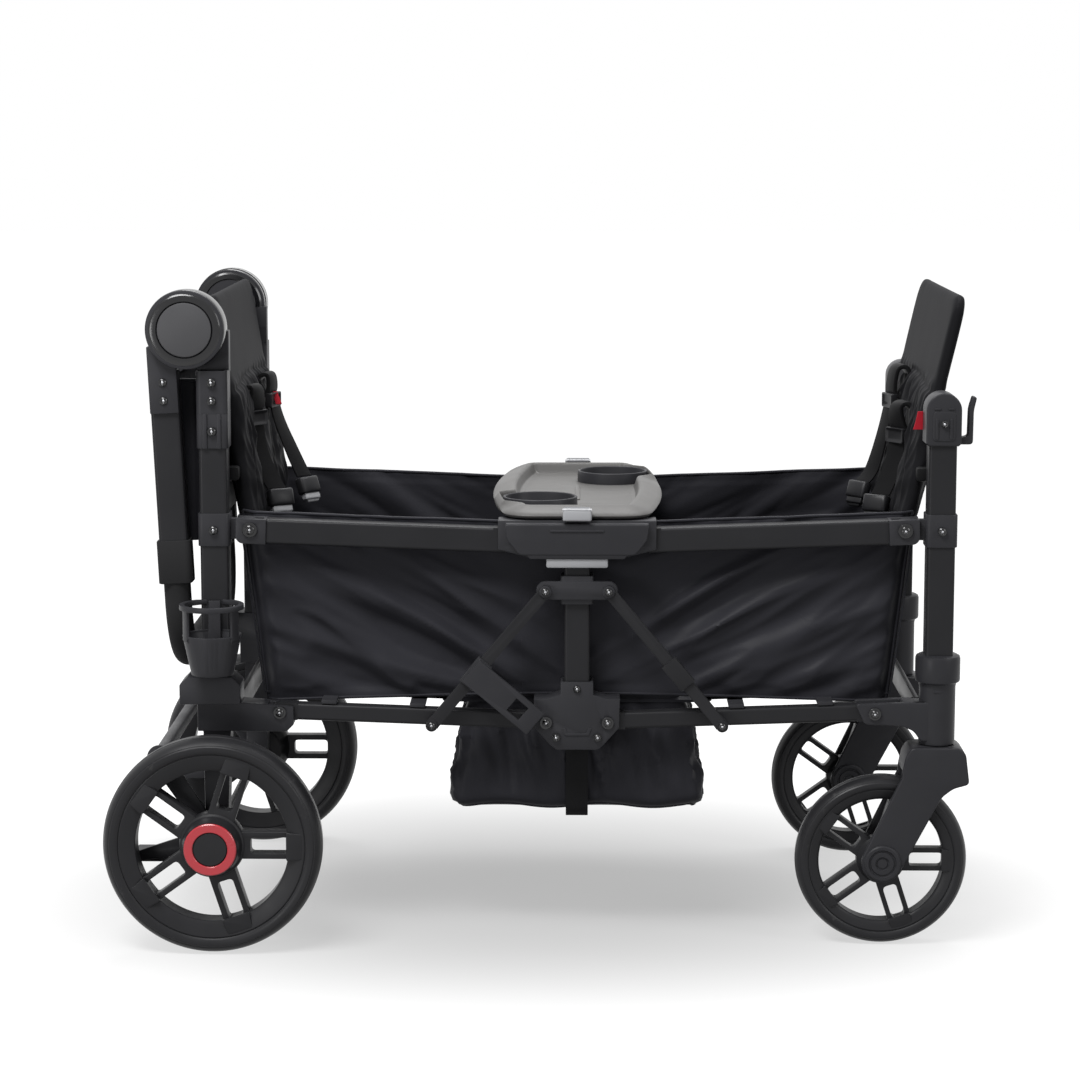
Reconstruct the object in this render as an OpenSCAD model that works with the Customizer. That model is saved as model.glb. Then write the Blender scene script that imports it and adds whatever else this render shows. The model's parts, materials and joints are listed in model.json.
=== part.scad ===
// Stroller wagon: a folding four wheeled frame with a fabric tub for two seated children.
// Frame: +X is the way it rolls, +Y its left side, +Z up, the ground is z = 0.

/* [Frame] */
// Distance along X from a post axis in to the outer pivot of the upper rail
post_pivot_in = 41.4; // [38:0.2:48]
// Distance from the middle plane to the post and rail axes, along Y
side_y = 218; // [200:1:240]
// Width of the square corner posts
post_w = 32; // [28:1:36]
// Wall of the square tubes
tube_wall = 1.6; // [1.2:0.1:2.5]
// Top of the front posts
front_post_top = 622; // [600:2:626]
// Top of the rear posts
rear_post_top = 671; // [655:1:676]
// Bottom of the posts
post_bottom = 292; // [288:1:298]

/* [Folding rails] */
// Distance from the fold line to the middle pivots of the upper rails
upper_mid_x = 67.8036; // [64:0.0001:72]
// Height of the outer pivots of the upper rails
upper_pivot_z = 488; // [470:1:510]
// Distance along X from the middle pivots of the upper rails in to those of the lower rails
mid_pivot_step = 32.1; // [28:0.1:36]
// Height of the outer pivots of the lower rails
lower_pivot_z = 274.5; // [270:0.5:280]
// Length of every half rail between its pivots
rail_len = 309; // [260:1:370]
// Slope of the opened rails down to the middle, in degrees
rail_sag = 2.08; // [1:0.1:3]
// Height of the upper rails
upper_rail_h = 29; // [25:1:32]
// Depth of the upper rails
upper_rail_d = 24; // [20:1:26]
// Height of the lower rails
lower_rail_h = 20; // [16:1:22]
// Depth of the lower rails
lower_rail_d = 18; // [14:1:20]
// Radius of the rail pivot pins
pin_r = 4; // [3:0.5:5]
// Width of the middle posts
mid_post_w = 30; // [26:1:32]
// Depth of the middle posts
mid_post_d = 24; // [20:1:26]
// Height of the brace pivots on the sliding bracket
brace_top_z = 418.5; // [415:0.5:424]
// Distance along a lower rail from its middle pivot to the brace foot
brace_foot_run = 132; // [120:1:140]
// Drop of the brace foot below the rail axis
brace_foot_drop = 6.5; // [4:0.5:8]
// Width of the braces
brace_w = 14; // [12:1:16]
// Thickness of the braces
brace_t = 6; // [4:0.5:8]

/* [Wheels] */
// Radius of the rear wheels
rear_r = 127; // [115:1:130]
// Width of the rear tyres
rear_tyre_w = 44; // [36:1:48]
// Distance from the middle plane to the rear wheel planes
rear_wheel_y = 268; // [266:1:280]
// Radius of the front wheels
front_r = 100; // [92:1:104]
// Width of the front tyres
front_tyre_w = 36; // [30:1:40]
// Height of the tyre section from rim to tread
tyre_h = 30; // [24:1:34]
// Number of double spokes in a wheel
spokes = 5; // [4:1:6]
// Radius of the rear axle
axle_r = 6; // [5:0.5:8]

/* [Casters] */
// Distance from the swivel axis back to the front axle
caster_trail = 63; // [55:1:70]
// Radius of the swivel stem
stem_r = 8; // [6:0.5:10]
// Radius of the swivel column
column_r = 21; // [18:0.5:24]
// Bottom of the swivel column
column_bottom = 237; // [234:1:242]

/* [Handle] */
// Distance from the rear post axis back to the handle pivot
handle_pivot_back = 28.8; // [26:0.2:32]
// Height of the handle pivot
handle_pivot_z = 718.5; // [716:0.5:725]
// Radius of the hinge discs
disc_r = 45; // [42:0.5:48]
// Radius of the push pads in the hinge discs
pad_r = 31; // [26:0.5:33]
// Width of the handle arms seen from the side
arm_w = 33; // [28:1:35]
// Lean of the stowed handle arms, in degrees
arm_lean = 2.6; // [1:0.1:4]
// Length of the straight handle arms
arm_len = 246; // [230:1:260]
// Radius of the handle grip
grip_r = 15.5; // [13:0.5:16.5]
// Radius of the bends of the handle grip
grip_bend = 70; // [55:1:90]
// Drop from the arm ends to the cross grip
grip_drop = 94; // [90:1:100]

/* [Fabric] */
// Thickness of the fabric walls
cloth_t = 3; // [2:0.2:4]
// Height of the top edge of the tub above the upper rails
hem_rise = 7; // [4:1:12]
// Thickness of the padded seat backs at their crown
seat_t = 16; // [12:1:24]
// Lean of the rear seat back, in degrees
rear_seat_lean = 9.7; // [7:0.1:12]
// Lean of the front seat back, in degrees
front_seat_lean = 15; // [12:0.1:17]
// Depth of the foot well below the floor
well_depth = 134; // [110:1:140]
// Length of the foot well along X at its foot
well_len = 298; // [270:1:310]
// Thickness of the floor boards
floor_t = 10; // [6:0.5:11]

/* [Tray and cup holder] */
// Length of the snack tray along X
tray_x = 206; // [180:1:230]
// Width of the snack tray along Y
tray_y = 466; // [452:1:480]
// Depth of the tray wells
tray_depth = 30; // [20:1:34]
// Outer radius of the cup holder rim
cup_r = 37; // [34:0.5:40]

/* [Fit] */
// Clearance between pieces that don't bear on each other
gap = 0.3; // [0.2:0.05:0.4]
// Radial running clearance of pins and shafts
fit = 0.05; // [0.03:0.01:0.1]

/* [Hidden] */
$fn = 64;

charcoal = "#2a2b2d";
graphite = "#3a3b3d";
black_cloth = "#1c1d1f";
tray_grey = "#6f6d6c";
light_grey = "#a3a3a1";
tyre_black = "#26272b";
accent_red = "#c21f2c";
steel = "#b8babc";

// Overrun of every cut past the face it goes through
cut = 1;
// Full turn, and the signs of the two sides
turn = 360;
half = 0.5;
RIGHT = 0;
LEFT = 1;

// Pivot places of the rear half, measured from the fold line
rail_run = rail_len * cos(rail_sag);
rail_fall = rail_len * sin(rail_sag);
upper_pivot_x = upper_mid_x + rail_run;
post_x = upper_pivot_x + post_pivot_in;
upper_mid_z = upper_pivot_z - rail_fall;
lower_mid_x = upper_mid_x - mid_pivot_step;
lower_pivot_x = lower_mid_x + rail_run;
lower_mid_z = lower_pivot_z - rail_fall;
post_half = post_w * half;
foot_x = lower_mid_x + brace_foot_run * cos(rail_sag) + brace_foot_drop * sin(rail_sag);
foot_z = lower_mid_z + brace_foot_run * sin(rail_sag) - brace_foot_drop * cos(rail_sag);

// The object's reach along X sets its origin midway
wheel_back = 2;
hook_reach = 34;
hook_tip_x = post_x + hook_reach;
rear_reach = post_x + wheel_back + rear_r;
origin_x = (rear_reach - hook_tip_x) * half;
caster_x = post_x;
front_axle_x = caster_x - caster_trail;

module place() translate([origin_x, 0, 0]) children();
// Side frame: y = 0 is the rail plane and -y points away from the wagon
module on_side(side) place() mirror([0, side, 0]) translate([0, -side_y, 0]) children();
module both_sides() for (side = [RIGHT, LEFT]) on_side(side) children();
module to_front() mirror([1, 0, 0]) children();
module round_tube(r, wall, h) difference() {
    cylinder(r = r, h = h);
    translate([0, 0, -cut]) cylinder(r = r - wall, h = h + cut + cut);
}
// Rounded rectangle in the XY plane, centred
module soft_rect(w, d, r) {
    square([w - r - r, d], center = true);
    square([w, d - r - r], center = true);
    for (i = [-1, 1], j = [-1, 1])
        translate([i * (w * half - r), j * (d * half - r)]) circle(r);
}
module rect_tube(w, d, r, wall, h) linear_extrude(h) difference() {
    soft_rect(w, d, r);
    soft_rect(w - wall - wall, d - wall - wall, r - wall * half);
}
// Outline in the XZ plane pushed through from y0 to y1
module plate(y0, y1) translate([0, y1, 0]) rotate([90, 0, 0]) linear_extrude(y1 - y0) children();
// Pin along Y
module pin(x, z, y0, y1, r) translate([x, y1, z]) rotate([90, 0, 0]) cylinder(r = r, h = y1 - y0);
module box(low, high) translate(low) cube(high - low);

// Square tube and sleeve sizes
corner_r = 4;
sleeve_wall = 2;
sleeve_half = post_half + sleeve_wall;

module post(z0, z1) translate([-post_x, 0, z0]) rect_tube(post_w, post_w, corner_r, tube_wall, z1 - z0);

module rear_posts() color(charcoal) both_sides() post(post_bottom, rear_post_top);
module front_posts() color(charcoal) both_sides() to_front() post(post_bottom, front_post_top);

// Sleeve on a post with a tongue for the upper rail
sleeve_h = 38;
tongue_t = 12;
tongue_h = 24;
pivot_below_top = 12.5;
knuckle_out = 16.5;
knuckle_d = 30;
knuckle_len = 35;
clip_h = 40;
clip_z = 582;
clip_rib = 2;
clip_rib_w = 5;
clip_rib_x = 8;

module post_sleeve(z0, h, wall) translate([-post_x, 0, z0]) linear_extrude(h) difference() {
    soft_rect(post_w + wall * 2 + gap, post_w + wall * 2 + gap, corner_r + wall);
    soft_rect(post_w + gap, post_w + gap, corner_r);
}
module rail_sleeve() difference() {
    union() {
        post_sleeve(upper_pivot_z - sleeve_h * half, sleeve_h, sleeve_wall);
        box([-post_x + post_half + sleeve_wall * half, -tongue_t * half, upper_pivot_z - tongue_h * half],
            [-upper_pivot_x, tongue_t * half, upper_pivot_z + tongue_h * half]);
        pin(-upper_pivot_x, upper_pivot_z, -tongue_t * half, tongue_t * half, tongue_h * half);
    }
    pin(-upper_pivot_x, upper_pivot_z, -knuckle_d, knuckle_d, pin_r + fit);
}
module clip_band() {
    post_sleeve(clip_z, clip_h, sleeve_wall);
    for (i = [-1, 1])
        translate([i * clip_rib_x - post_x, -sleeve_half - gap * half, clip_z])
            box([-clip_rib_w * half, -clip_rib, 0], [clip_rib_w * half, sleeve_wall * half, clip_h]);
}
module rear_post_brackets() color(graphite) both_sides() {
    rail_sleeve();
    clip_band();
}
module front_post_brackets() color(graphite) both_sides() to_front() rail_sleeve();

// Upper rails: tube, outer knuckle and inner eye, all turned by the sag about the outer pivot
module on_upper_rail() translate([-upper_pivot_x, 0, upper_pivot_z]) rotate([0, rail_sag, 0]) children();
eye_gap = 4;
rail_corner = 4;
knuckle_corner = 9;
rail_top = pivot_below_top;
rail_mid = rail_top - upper_rail_h * half;
rail_start = knuckle_len - knuckle_out;
plug_len = 20;

module rail_tube_x(x0, x1, h, d) translate([x0, 0, 0]) rotate([90, 0, 90])
    rect_tube(d, h, rail_corner, tube_wall, x1 - x0);

module upper_rail() on_upper_rail() difference() {
    union() {
        translate([0, 0, rail_mid])
            rail_tube_x(rail_start + gap, rail_len - upper_rail_h * half, upper_rail_h, upper_rail_d);
        pin(rail_len, 0, -upper_rail_d * half, upper_rail_d * half, rail_top);
        box([rail_len - upper_rail_h, -upper_rail_d * half, -rail_top],
            [rail_len, upper_rail_d * half, rail_top]);
    }
    pin(rail_len, 0, -upper_rail_d, upper_rail_d, pin_r + fit);
}
module rail_knuckle() on_upper_rail() difference() {
    plate(-knuckle_d * half, knuckle_d * half) difference() {
        translate([-knuckle_out, rail_top - upper_rail_h]) square([knuckle_len, upper_rail_h]);
        translate([-knuckle_out, rail_top - upper_rail_h]) difference() {
            square(knuckle_corner);
            translate([knuckle_corner, knuckle_corner]) circle(knuckle_corner);
        }
    }
    box([-knuckle_len, -tongue_t * half - gap, -knuckle_d],
        [rail_start - sleeve_wall * 2, tongue_t * half + gap, knuckle_d]);
    pin(0, 0, -knuckle_d, knuckle_d, pin_r + fit);
}
module rear_upper_rails() color(charcoal) both_sides() upper_rail();
module front_upper_rails() color(charcoal) both_sides() to_front() upper_rail();
module rear_rail_ends() color(graphite) both_sides() rail_knuckle();
module front_rail_ends() color(graphite) both_sides() to_front() rail_knuckle();

// Lower rails with an eye at both ends
module on_lower_rail() translate([-lower_pivot_x, 0, lower_pivot_z]) rotate([0, rail_sag, 0]) children();
lower_eye = lower_rail_h * half;

module lower_rail() on_lower_rail() difference() {
    union() {
        rail_tube_x(lower_eye, rail_len - lower_eye, lower_rail_h, lower_rail_d);
        for (end = [0, 1]) translate([end * rail_len, 0, 0]) {
            pin(0, 0, -lower_rail_d * half, lower_rail_d * half, lower_eye);
            mirror([end, 0, 0])
                box([0, -lower_rail_d * half, -lower_eye], [lower_rail_h, lower_rail_d * half, lower_eye]);
        }
    }
    for (end = [0, 1]) pin(end * rail_len, 0, -lower_rail_d, lower_rail_d, pin_r + fit);
}
module rear_lower_rails() color(charcoal) both_sides() lower_rail();
module front_lower_rails() color(charcoal) both_sides() to_front() lower_rail();

// Inner face of the rails to the fabric walls of the tub
wall_y = 19.6;
wall_in = wall_y + cloth_t;
// Floor boards ride on the lower rails over two battens
batten_w = 18;
batten_h = 5;
floor_edge = 22;
well_rim_x = 150;
floor_half_y = side_y - wall_in - cloth_t * half;
batten_runs_share = [0.2, 0.8];
board_x0 = floor_edge;
board_x1 = lower_pivot_x - well_rim_x - gap * 4;

module floor_board() place() translate([-lower_pivot_x, 0, lower_pivot_z])
    rotate([0, rail_sag, 0]) translate([0, 0, lower_eye + gap]) {
        box([board_x0, -floor_half_y, batten_h], [board_x1, floor_half_y, batten_h + floor_t]);
        for (run = batten_runs_share) translate([board_x0 + run * (board_x1 - board_x0), 0, 0])
            box([-batten_w * half, -side_y - lower_rail_d * half, 0],
                [batten_w * half, side_y + lower_rail_d * half, batten_h]);
    }
module rear_floor_board() color(black_cloth) floor_board();
module front_floor_board() color(black_cloth) translate([origin_x, 0, 0]) mirror([1, 0, 0])
    translate([-origin_x, 0, 0]) floor_board();

// Corner fitting at the foot of a post, with a fork for the lower rail
foot_cheek = 17;
foot_back = 22;
foot_top = 287;
foot_bottom = 252;
fork_reach = 16;
fork_top = 281;
flange_x0 = -41;
flange_x1 = 29;
flange_top = 318;
flange_y = 30;
flange_slope = 9;
fork_y = lower_rail_d * half + gap;
leg_half = 16;
leg_foot = 13;
leg_t = 14;
leg_end = 17;

module rail_fork(y_out, y_in) difference() {
    plate(-y_out, y_in) polygon([
        [-post_x - foot_back, foot_bottom], [-lower_pivot_x + fork_reach * half, foot_bottom],
        [-lower_pivot_x + fork_reach, foot_bottom + fork_reach * half],
        [-lower_pivot_x + fork_reach, fork_top], [-post_x + sleeve_half, foot_top],
        [-post_x - foot_back, foot_top]]);
    box([-lower_pivot_x - lower_eye - eye_gap, -fork_y, lower_pivot_z - lower_eye - eye_gap * half],
        [-lower_pivot_x + fork_reach + cut, fork_y, flange_top]);
    pin(-lower_pivot_x, lower_pivot_z, -flange_y, flange_y, pin_r + fit);
}
module rear_foot() difference() {
    union() {
        rail_fork(foot_cheek, foot_cheek);
        plate(-flange_y, foot_cheek) polygon([
            [-post_x + flange_x0, foot_top - cut], [-post_x + flange_x1, foot_top - cut],
            [-post_x + flange_x1, flange_top - flange_slope],
            [-post_x + flange_x1 - flange_slope, flange_top],
            [-post_x + flange_x0 + flange_slope, flange_top],
            [-post_x + flange_x0, flange_top - flange_slope]]);
        plate(-leg_t, leg_t) polygon([
            [-post_x - leg_half, foot_bottom + cut], [-post_x + leg_half, foot_bottom + cut],
            [-post_x - wheel_back + leg_foot, rear_r], [-post_x - wheel_back - leg_foot, rear_r]]);
        pin(-post_x - wheel_back, rear_r, -leg_end, leg_end, leg_foot);
    }
    translate([-post_x, 0, post_bottom - gap]) linear_extrude(flange_top)
        soft_rect(post_w + gap, post_w + gap, corner_r);
    pin(-post_x - wheel_back, rear_r, -flange_y, flange_y, axle_r + fit);
}
module rear_lower_brackets() color(charcoal) both_sides() rear_foot();

// Swivel column under a front post
cap_r = 26;
cap_z0 = 311;
cap_z1 = 343;
slot_w = 9;
slot_h = 3;
slot_z = 300;

module front_foot() to_front() difference() {
    union() {
        rail_fork(foot_cheek, foot_cheek);
        translate([-caster_x, 0, column_bottom]) cylinder(r = column_r, h = cap_z0 - column_bottom);
        translate([-caster_x, 0, cap_z0 - cut]) cylinder(r = cap_r, h = cap_z1 - cap_z0 + cut);
    }
    translate([-post_x, 0, post_bottom - gap]) linear_extrude(cap_z1)
        soft_rect(post_w + gap, post_w + gap, corner_r);
    translate([-caster_x, 0, column_bottom - cut])
        cylinder(r = stem_r + fit, h = post_bottom - gap - tube_wall * 2 - column_bottom + cut);
    translate([-caster_x, -column_r, slot_z]) rotate([0, 90, 0]) cylinder(r = slot_h * half, h = slot_w,
        center = true);
}
module caster_housings() color(charcoal) both_sides() front_foot();

// Flat bars that tie the two corner fittings of an end together
bar_h = 28;
bar_t = 6;
bar_z = 270;
bar_inset = 20;
bar_x = post_x - bar_inset;

module end_bar() translate([-bar_x, 0, bar_z]) cube([bar_t, (side_y - foot_cheek - gap) * 2, bar_h], center = true);
module rear_cross_bar() color(graphite) place() end_bar();
module front_cross_bar() color(graphite) place() to_front() end_bar();

// Rear axle, from hub to hub
hub_out = 30;
hub_in = 25;
hub_shut = 5;
axle_end = hub_out - hub_shut - cut;
module rear_axle() color(steel) place()
    pin(-post_x - wheel_back, rear_r, -rear_wheel_y - axle_end, rear_wheel_y + axle_end, axle_r);

// Pins and rivet heads
rivet_r = 5;
rivet_h = 2.4;
head_r = 7;
head_t = 2.5;
module headed_pin(x, z, y_out, y_in) {
    pin(x, z, -y_out - gap, y_in + gap, pin_r);
    pin(x, z, -y_out - gap - head_t, -y_out - gap, head_r);
    pin(x, z, y_in + gap, y_in + gap + head_t, head_r);
}
module rivet(x, z, y) pin(x, z, y - rivet_h, y, rivet_r);
lug_rivets = [637, 658];
module end_pins() {
    headed_pin(-upper_pivot_x, upper_pivot_z, knuckle_d * half, knuckle_d * half);
    headed_pin(-lower_pivot_x, lower_pivot_z, foot_cheek, foot_cheek);
    rivet(-post_x, upper_pivot_z, -sleeve_half - gap * half);
}
module rear_rivets() color(steel) both_sides() {
    end_pins();
    rivet(-post_x, clip_z + clip_h * half, -sleeve_half - gap * half);
    for (z = lug_rivets) rivet(-post_x, z, -sleeve_half - gap * half);
}
module front_rivets() color(steel) both_sides() to_front() end_pins();

// Middle posts stand between the rail housings and the lower middle brackets
mid_bottom = 236;
mid_plug = 9;
mid_top = upper_mid_z - mid_plug;
module middle_posts() color(charcoal) both_sides() translate([0, 0, mid_bottom])
    rect_tube(mid_post_w, mid_post_d, corner_r, tube_wall, mid_top - mid_bottom);

// Rail housings hold the inner eyes of the upper rails
housing_half = 91;
housing_up = 22.7;
housing_end_down = 10.8;
housing_down = 20.8;
housing_top = upper_mid_z + housing_up;
housing_end_z = upper_mid_z - housing_end_down;
housing_bottom = upper_mid_z - housing_down;
housing_foot = 54;
housing_back = 16;
housing_plate = 17;
housing_face = 26;
face_half = 82;
face_set = 2.5;
knee_set = 12.5;
ridge_set = 9.5;
face_top = housing_top - face_set;
face_knee = housing_top - knee_set;
ridge_half = 31;
ridge_z = housing_top - ridge_set;
ridge_h = 2.5;
housing_slot = upper_rail_d * half + gap;
slot_inner = upper_mid_x - rail_top - eye_gap * half;
slot_top = upper_mid_z + rail_top + eye_gap * half;
button_half = 35.5;
button_out = 24;
button_in = mid_post_d * half + gap * 2;
button_lip = 6;
button_down = 10.5;
button_low = housing_bottom - button_down;
button_travel = 4;

module housing() difference() {
    union() {
        plate(-housing_plate, housing_back) polygon([
            [-housing_half, housing_top], [housing_half, housing_top], [housing_half, housing_end_z],
            [housing_foot, housing_bottom], [-housing_foot, housing_bottom],
            [-housing_half, housing_end_z]]);
        plate(-housing_face, -housing_plate + cut) polygon([
            [-face_half, face_top], [face_half, face_top], [face_half, face_knee],
            [housing_foot, housing_bottom], [-housing_foot, housing_bottom], [-face_half, face_knee]]);
        plate(-housing_face - ridge_h, -housing_face + cut) polygon([
            [-ridge_half, ridge_z - ridge_h], [ridge_half, ridge_z - ridge_h],
            [ridge_half, ridge_z], [-ridge_half, ridge_z]]);
    }
    for (end = [0, 1]) mirror([end, 0, 0]) {
        box([-housing_half - cut, -housing_slot, housing_bottom - cut],
            [-slot_inner, housing_slot, slot_top]);
        pin(-upper_mid_x, upper_mid_z, -housing_face - cut, housing_back + cut, pin_r + fit);
        pin(-upper_mid_x, upper_mid_z, -housing_face - cut, -housing_plate, head_r + gap);
    }
    translate([0, 0, housing_bottom - cut]) linear_extrude(mid_top + gap - housing_bottom + cut)
        soft_rect(mid_post_w + gap, mid_post_d + gap, corner_r);
    box([-button_half - gap, -button_out - gap, housing_bottom - cut],
        [button_half + gap, -button_in + gap, housing_bottom + button_lip + button_travel + gap]);
}
module rail_housings() color(charcoal) both_sides() housing();

module release_button(side) color(light_grey) on_side(side)
    box([-button_half, -button_out, button_low], [button_half, -button_in, housing_bottom + button_lip]);
module release_button_right() release_button(RIGHT);
module release_button_left() release_button(LEFT);

// Lower middle brackets
mid_out = 17;
mid_in = 15.5;
mid_cap = 311;
mid_neck = 19;
mid_neck_z = 296;
mid_wing_z = 291.5;
mid_wing = 50;
mid_knee_z = 257;
mid_knee = 49;
mid_foot_z = 231;
mid_foot = 24;
mid_toe_z = 237;
mid_toe = 31;
module mid_bracket() difference() {
    plate(-mid_out, mid_in) polygon([
        [-mid_neck, mid_cap], [mid_neck, mid_cap], [mid_neck, mid_neck_z],
        [mid_neck + mid_cap - mid_neck_z, mid_wing_z], [mid_wing, mid_wing_z],
        [mid_knee, mid_knee_z], [mid_toe, mid_toe_z], [mid_foot, mid_foot_z],
        [-mid_foot, mid_foot_z], [-mid_toe, mid_toe_z], [-mid_knee, mid_knee_z],
        [-mid_wing, mid_wing_z], [-mid_neck - mid_cap + mid_neck_z, mid_wing_z],
        [-mid_neck, mid_neck_z]]);
    for (end = [0, 1]) mirror([end, 0, 0]) {
        box([-mid_wing - cut, -fork_y, mid_foot_z - cut],
            [-lower_mid_x + lower_eye + eye_gap * half, fork_y, lower_mid_z + lower_eye + eye_gap * half]);
        pin(-lower_mid_x, lower_mid_z, -mid_wing, mid_wing, pin_r + fit);
    }
    translate([0, 0, mid_bottom - gap]) linear_extrude(mid_cap)
        soft_rect(mid_post_w + gap, mid_post_d + gap, corner_r);
}
module middle_brackets() color(charcoal) both_sides() mid_bracket();

toe_rivet_x = 24;
toe_rivet_z = 246;
module middle_rivets() color(steel) both_sides() for (end = [0, 1]) mirror([end, 0, 0]) {
    headed_pin(-lower_mid_x, lower_mid_z, mid_out, mid_in);
    headed_pin(-upper_mid_x, upper_mid_z, housing_plate, housing_back);
    rivet(-toe_rivet_x, toe_rivet_z, -mid_out);
}

// Sliding brackets on the middle posts, with the brace pins
slider_half = 19;
slider_h = 33;
wing_half = 46;
wing_h = 21;
wing_out = 20.2;
slider_out = mid_out;
slider_in = mid_in;
brace_y = wing_out + gap;
brace_pin_x = 36.4;
brace_pin_r = 3.5;
module slider() {
    difference() {
        union() {
            translate([0, 0, brace_top_z - slider_h * half]) linear_extrude(slider_h)
                translate([0, (slider_in - slider_out) * half])
                    soft_rect(slider_half * 2, slider_in + slider_out, corner_r);
            plate(-wing_out, -mid_post_d * half - gap) {
                translate([0, brace_top_z]) square([brace_pin_x * 2, wing_h], center = true);
                for (i = [-1, 1]) translate([i * brace_pin_x, brace_top_z]) circle(wing_h * half);
            }
        }
        translate([0, 0, brace_top_z - slider_h]) linear_extrude(slider_h * 2)
            soft_rect(mid_post_w + gap, mid_post_d + gap, corner_r);
    }
    for (i = [-1, 1]) {
        pin(i * brace_pin_x, brace_top_z, -brace_y - brace_t - gap, -wing_out + cut, brace_pin_r);
        pin(i * brace_pin_x, brace_top_z, -brace_y - brace_t - gap - head_t, -brace_y - brace_t - gap,
            head_r);
    }
}
module brace_sliders() color(graphite) both_sides() slider();

// Braces from the sliding brackets down to the lower rails
foot_dx = foot_x - brace_pin_x;
foot_dz = brace_top_z - foot_z;
brace_len = norm([foot_dx, foot_dz]);
brace_angle = atan2(foot_dx, foot_dz);
boss_r = 8;
module on_brace() translate([-brace_pin_x, 0, brace_top_z]) rotate([0, brace_angle, 0]) children();
module brace() on_brace() difference() {
    union() {
        plate(-brace_y - brace_t, -brace_y) {
            translate([-brace_w * half, -brace_len]) square([brace_w, brace_len]);
            circle(brace_w * half);
            translate([0, -brace_len]) circle(brace_w * half);
        }
        pin(0, -brace_len, -brace_y - cut, -lower_rail_d * half - gap, boss_r * half + pin_r * half);
        pin(0, -brace_len, -brace_y - brace_t - head_t, -brace_y - cut, boss_r - cut);
    }
    pin(0, 0, -brace_y * 2, brace_y, brace_pin_r + fit);
}
// Sleeve on a brace; the rear one carries the arm of the storage latch
sleeve_at = 125;
sleeve_len = 36;
sleeve_grow = 3;
arm_reach = 97;
arm_h = 32;
latch_t = 4.5;
window = 18;
window_at = 70;
module brace_sleeve() difference() {
    box([-brace_w * half - sleeve_grow, -brace_y - brace_t - sleeve_grow, -sleeve_at - sleeve_len * half],
        [brace_w * half + sleeve_grow, -brace_y + gap, -sleeve_at + sleeve_len * half]);
    box([-brace_w * half - gap * half, -brace_y - brace_t - gap * half, -sleeve_at - sleeve_len],
        [brace_w * half + gap * half, brace_y, -sleeve_at + sleeve_len]);
}
module latch() on_brace() {
    brace_sleeve();
    translate([0, -brace_y - brace_t - sleeve_grow + cut, -sleeve_at]) plate(-latch_t - cut, 0) difference() {
        translate([-brace_w * half, -arm_h * half]) square([arm_reach, arm_h]);
        translate([window_at - window * half - brace_w * half, -window * half]) square(window);
    }
}
module rear_braces() color(charcoal) both_sides() brace();
module fold_latches() color(graphite) both_sides() latch();
module front_braces() color(charcoal) both_sides() to_front() {
    brace();
    on_brace() brace_sleeve();
}

// Caps on the front posts, each with an open hook for bags
hook_cap_z = 586;
hook_cap_top = 647;
hook_cap_wall = 3;
hook_half = 8;
hook_slot = 7;
hook_t = 4.5;
hook_tip_t = 4;
hook_low = 588;
hook_floor = 596;
hook_bend_z = 628;
hook_tip_z = 641;
cap_half = post_half + hook_cap_wall + gap * half;
hook_in = post_x + cap_half + hook_slot;
hook_out = hook_in + hook_t;
dome_z = hook_cap_top - cap_half;
module hook_cap() difference() {
    union() {
        translate([post_x, 0, hook_cap_z]) linear_extrude(dome_z - hook_cap_z)
            soft_rect(cap_half * 2, cap_half * 2, corner_r + hook_cap_wall);
        pin(post_x, dome_z, -cap_half + corner_r, cap_half - corner_r, cap_half);
        plate(-hook_half, hook_half) polygon([
            [post_x + cap_half - hook_cap_wall, hook_low], [hook_out, hook_low], [hook_out, hook_bend_z],
            [hook_tip_x, hook_tip_z], [hook_tip_x - hook_tip_t, hook_tip_z], [hook_in, hook_bend_z],
            [hook_in, hook_floor], [post_x + cap_half - hook_cap_wall, hook_floor]]);
    }
    translate([post_x, 0, hook_cap_z - cut]) linear_extrude(front_post_top - hook_cap_z + cut + gap)
        soft_rect(post_w + gap, post_w + gap, corner_r);
}
module hook_caps() color(charcoal) both_sides() hook_cap();

// Handle: a fixed half disc on each post, a turning half with a lug, arms and a U shaped grip
pivot_x = -post_x - handle_pivot_back;
disc_in = 16;
disc_out = 27;
hub_pin_r = 6;
hub_pin_len = 12;
lug_low = 622;
lug_neck_drop = 28.5;
lug_neck = handle_pivot_z - lug_neck_drop;
pad_out = 29;
pad_in = 20;
pad_travel = 5;
recess_in = 14;
arm_d = 28;
arm_top = rear_post_top;
arm_shift = 11;
arm_x = pivot_x - arm_w * half - arm_shift;
lug_wall = 4;
lug_top_drop = 19;
module hub() {
    difference() {
        union() {
            pin(pivot_x, handle_pivot_z, gap, disc_in, disc_r - cut);
            box([-post_x - sleeve_half, gap, rear_post_top - cut],
                [-post_x + sleeve_half, disc_in + sleeve_wall, lug_neck]);
        }
        translate([-post_x, 0, lug_low]) linear_extrude(rear_post_top + gap - lug_low)
            square(post_w + gap, center = true);
    }
    pin(pivot_x, handle_pivot_z, -hub_pin_len, gap + cut, hub_pin_r);
    post_sleeve(lug_low, rear_post_top - lug_low, sleeve_wall);
}
module handle_hubs() color(charcoal) both_sides() hub();

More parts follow.
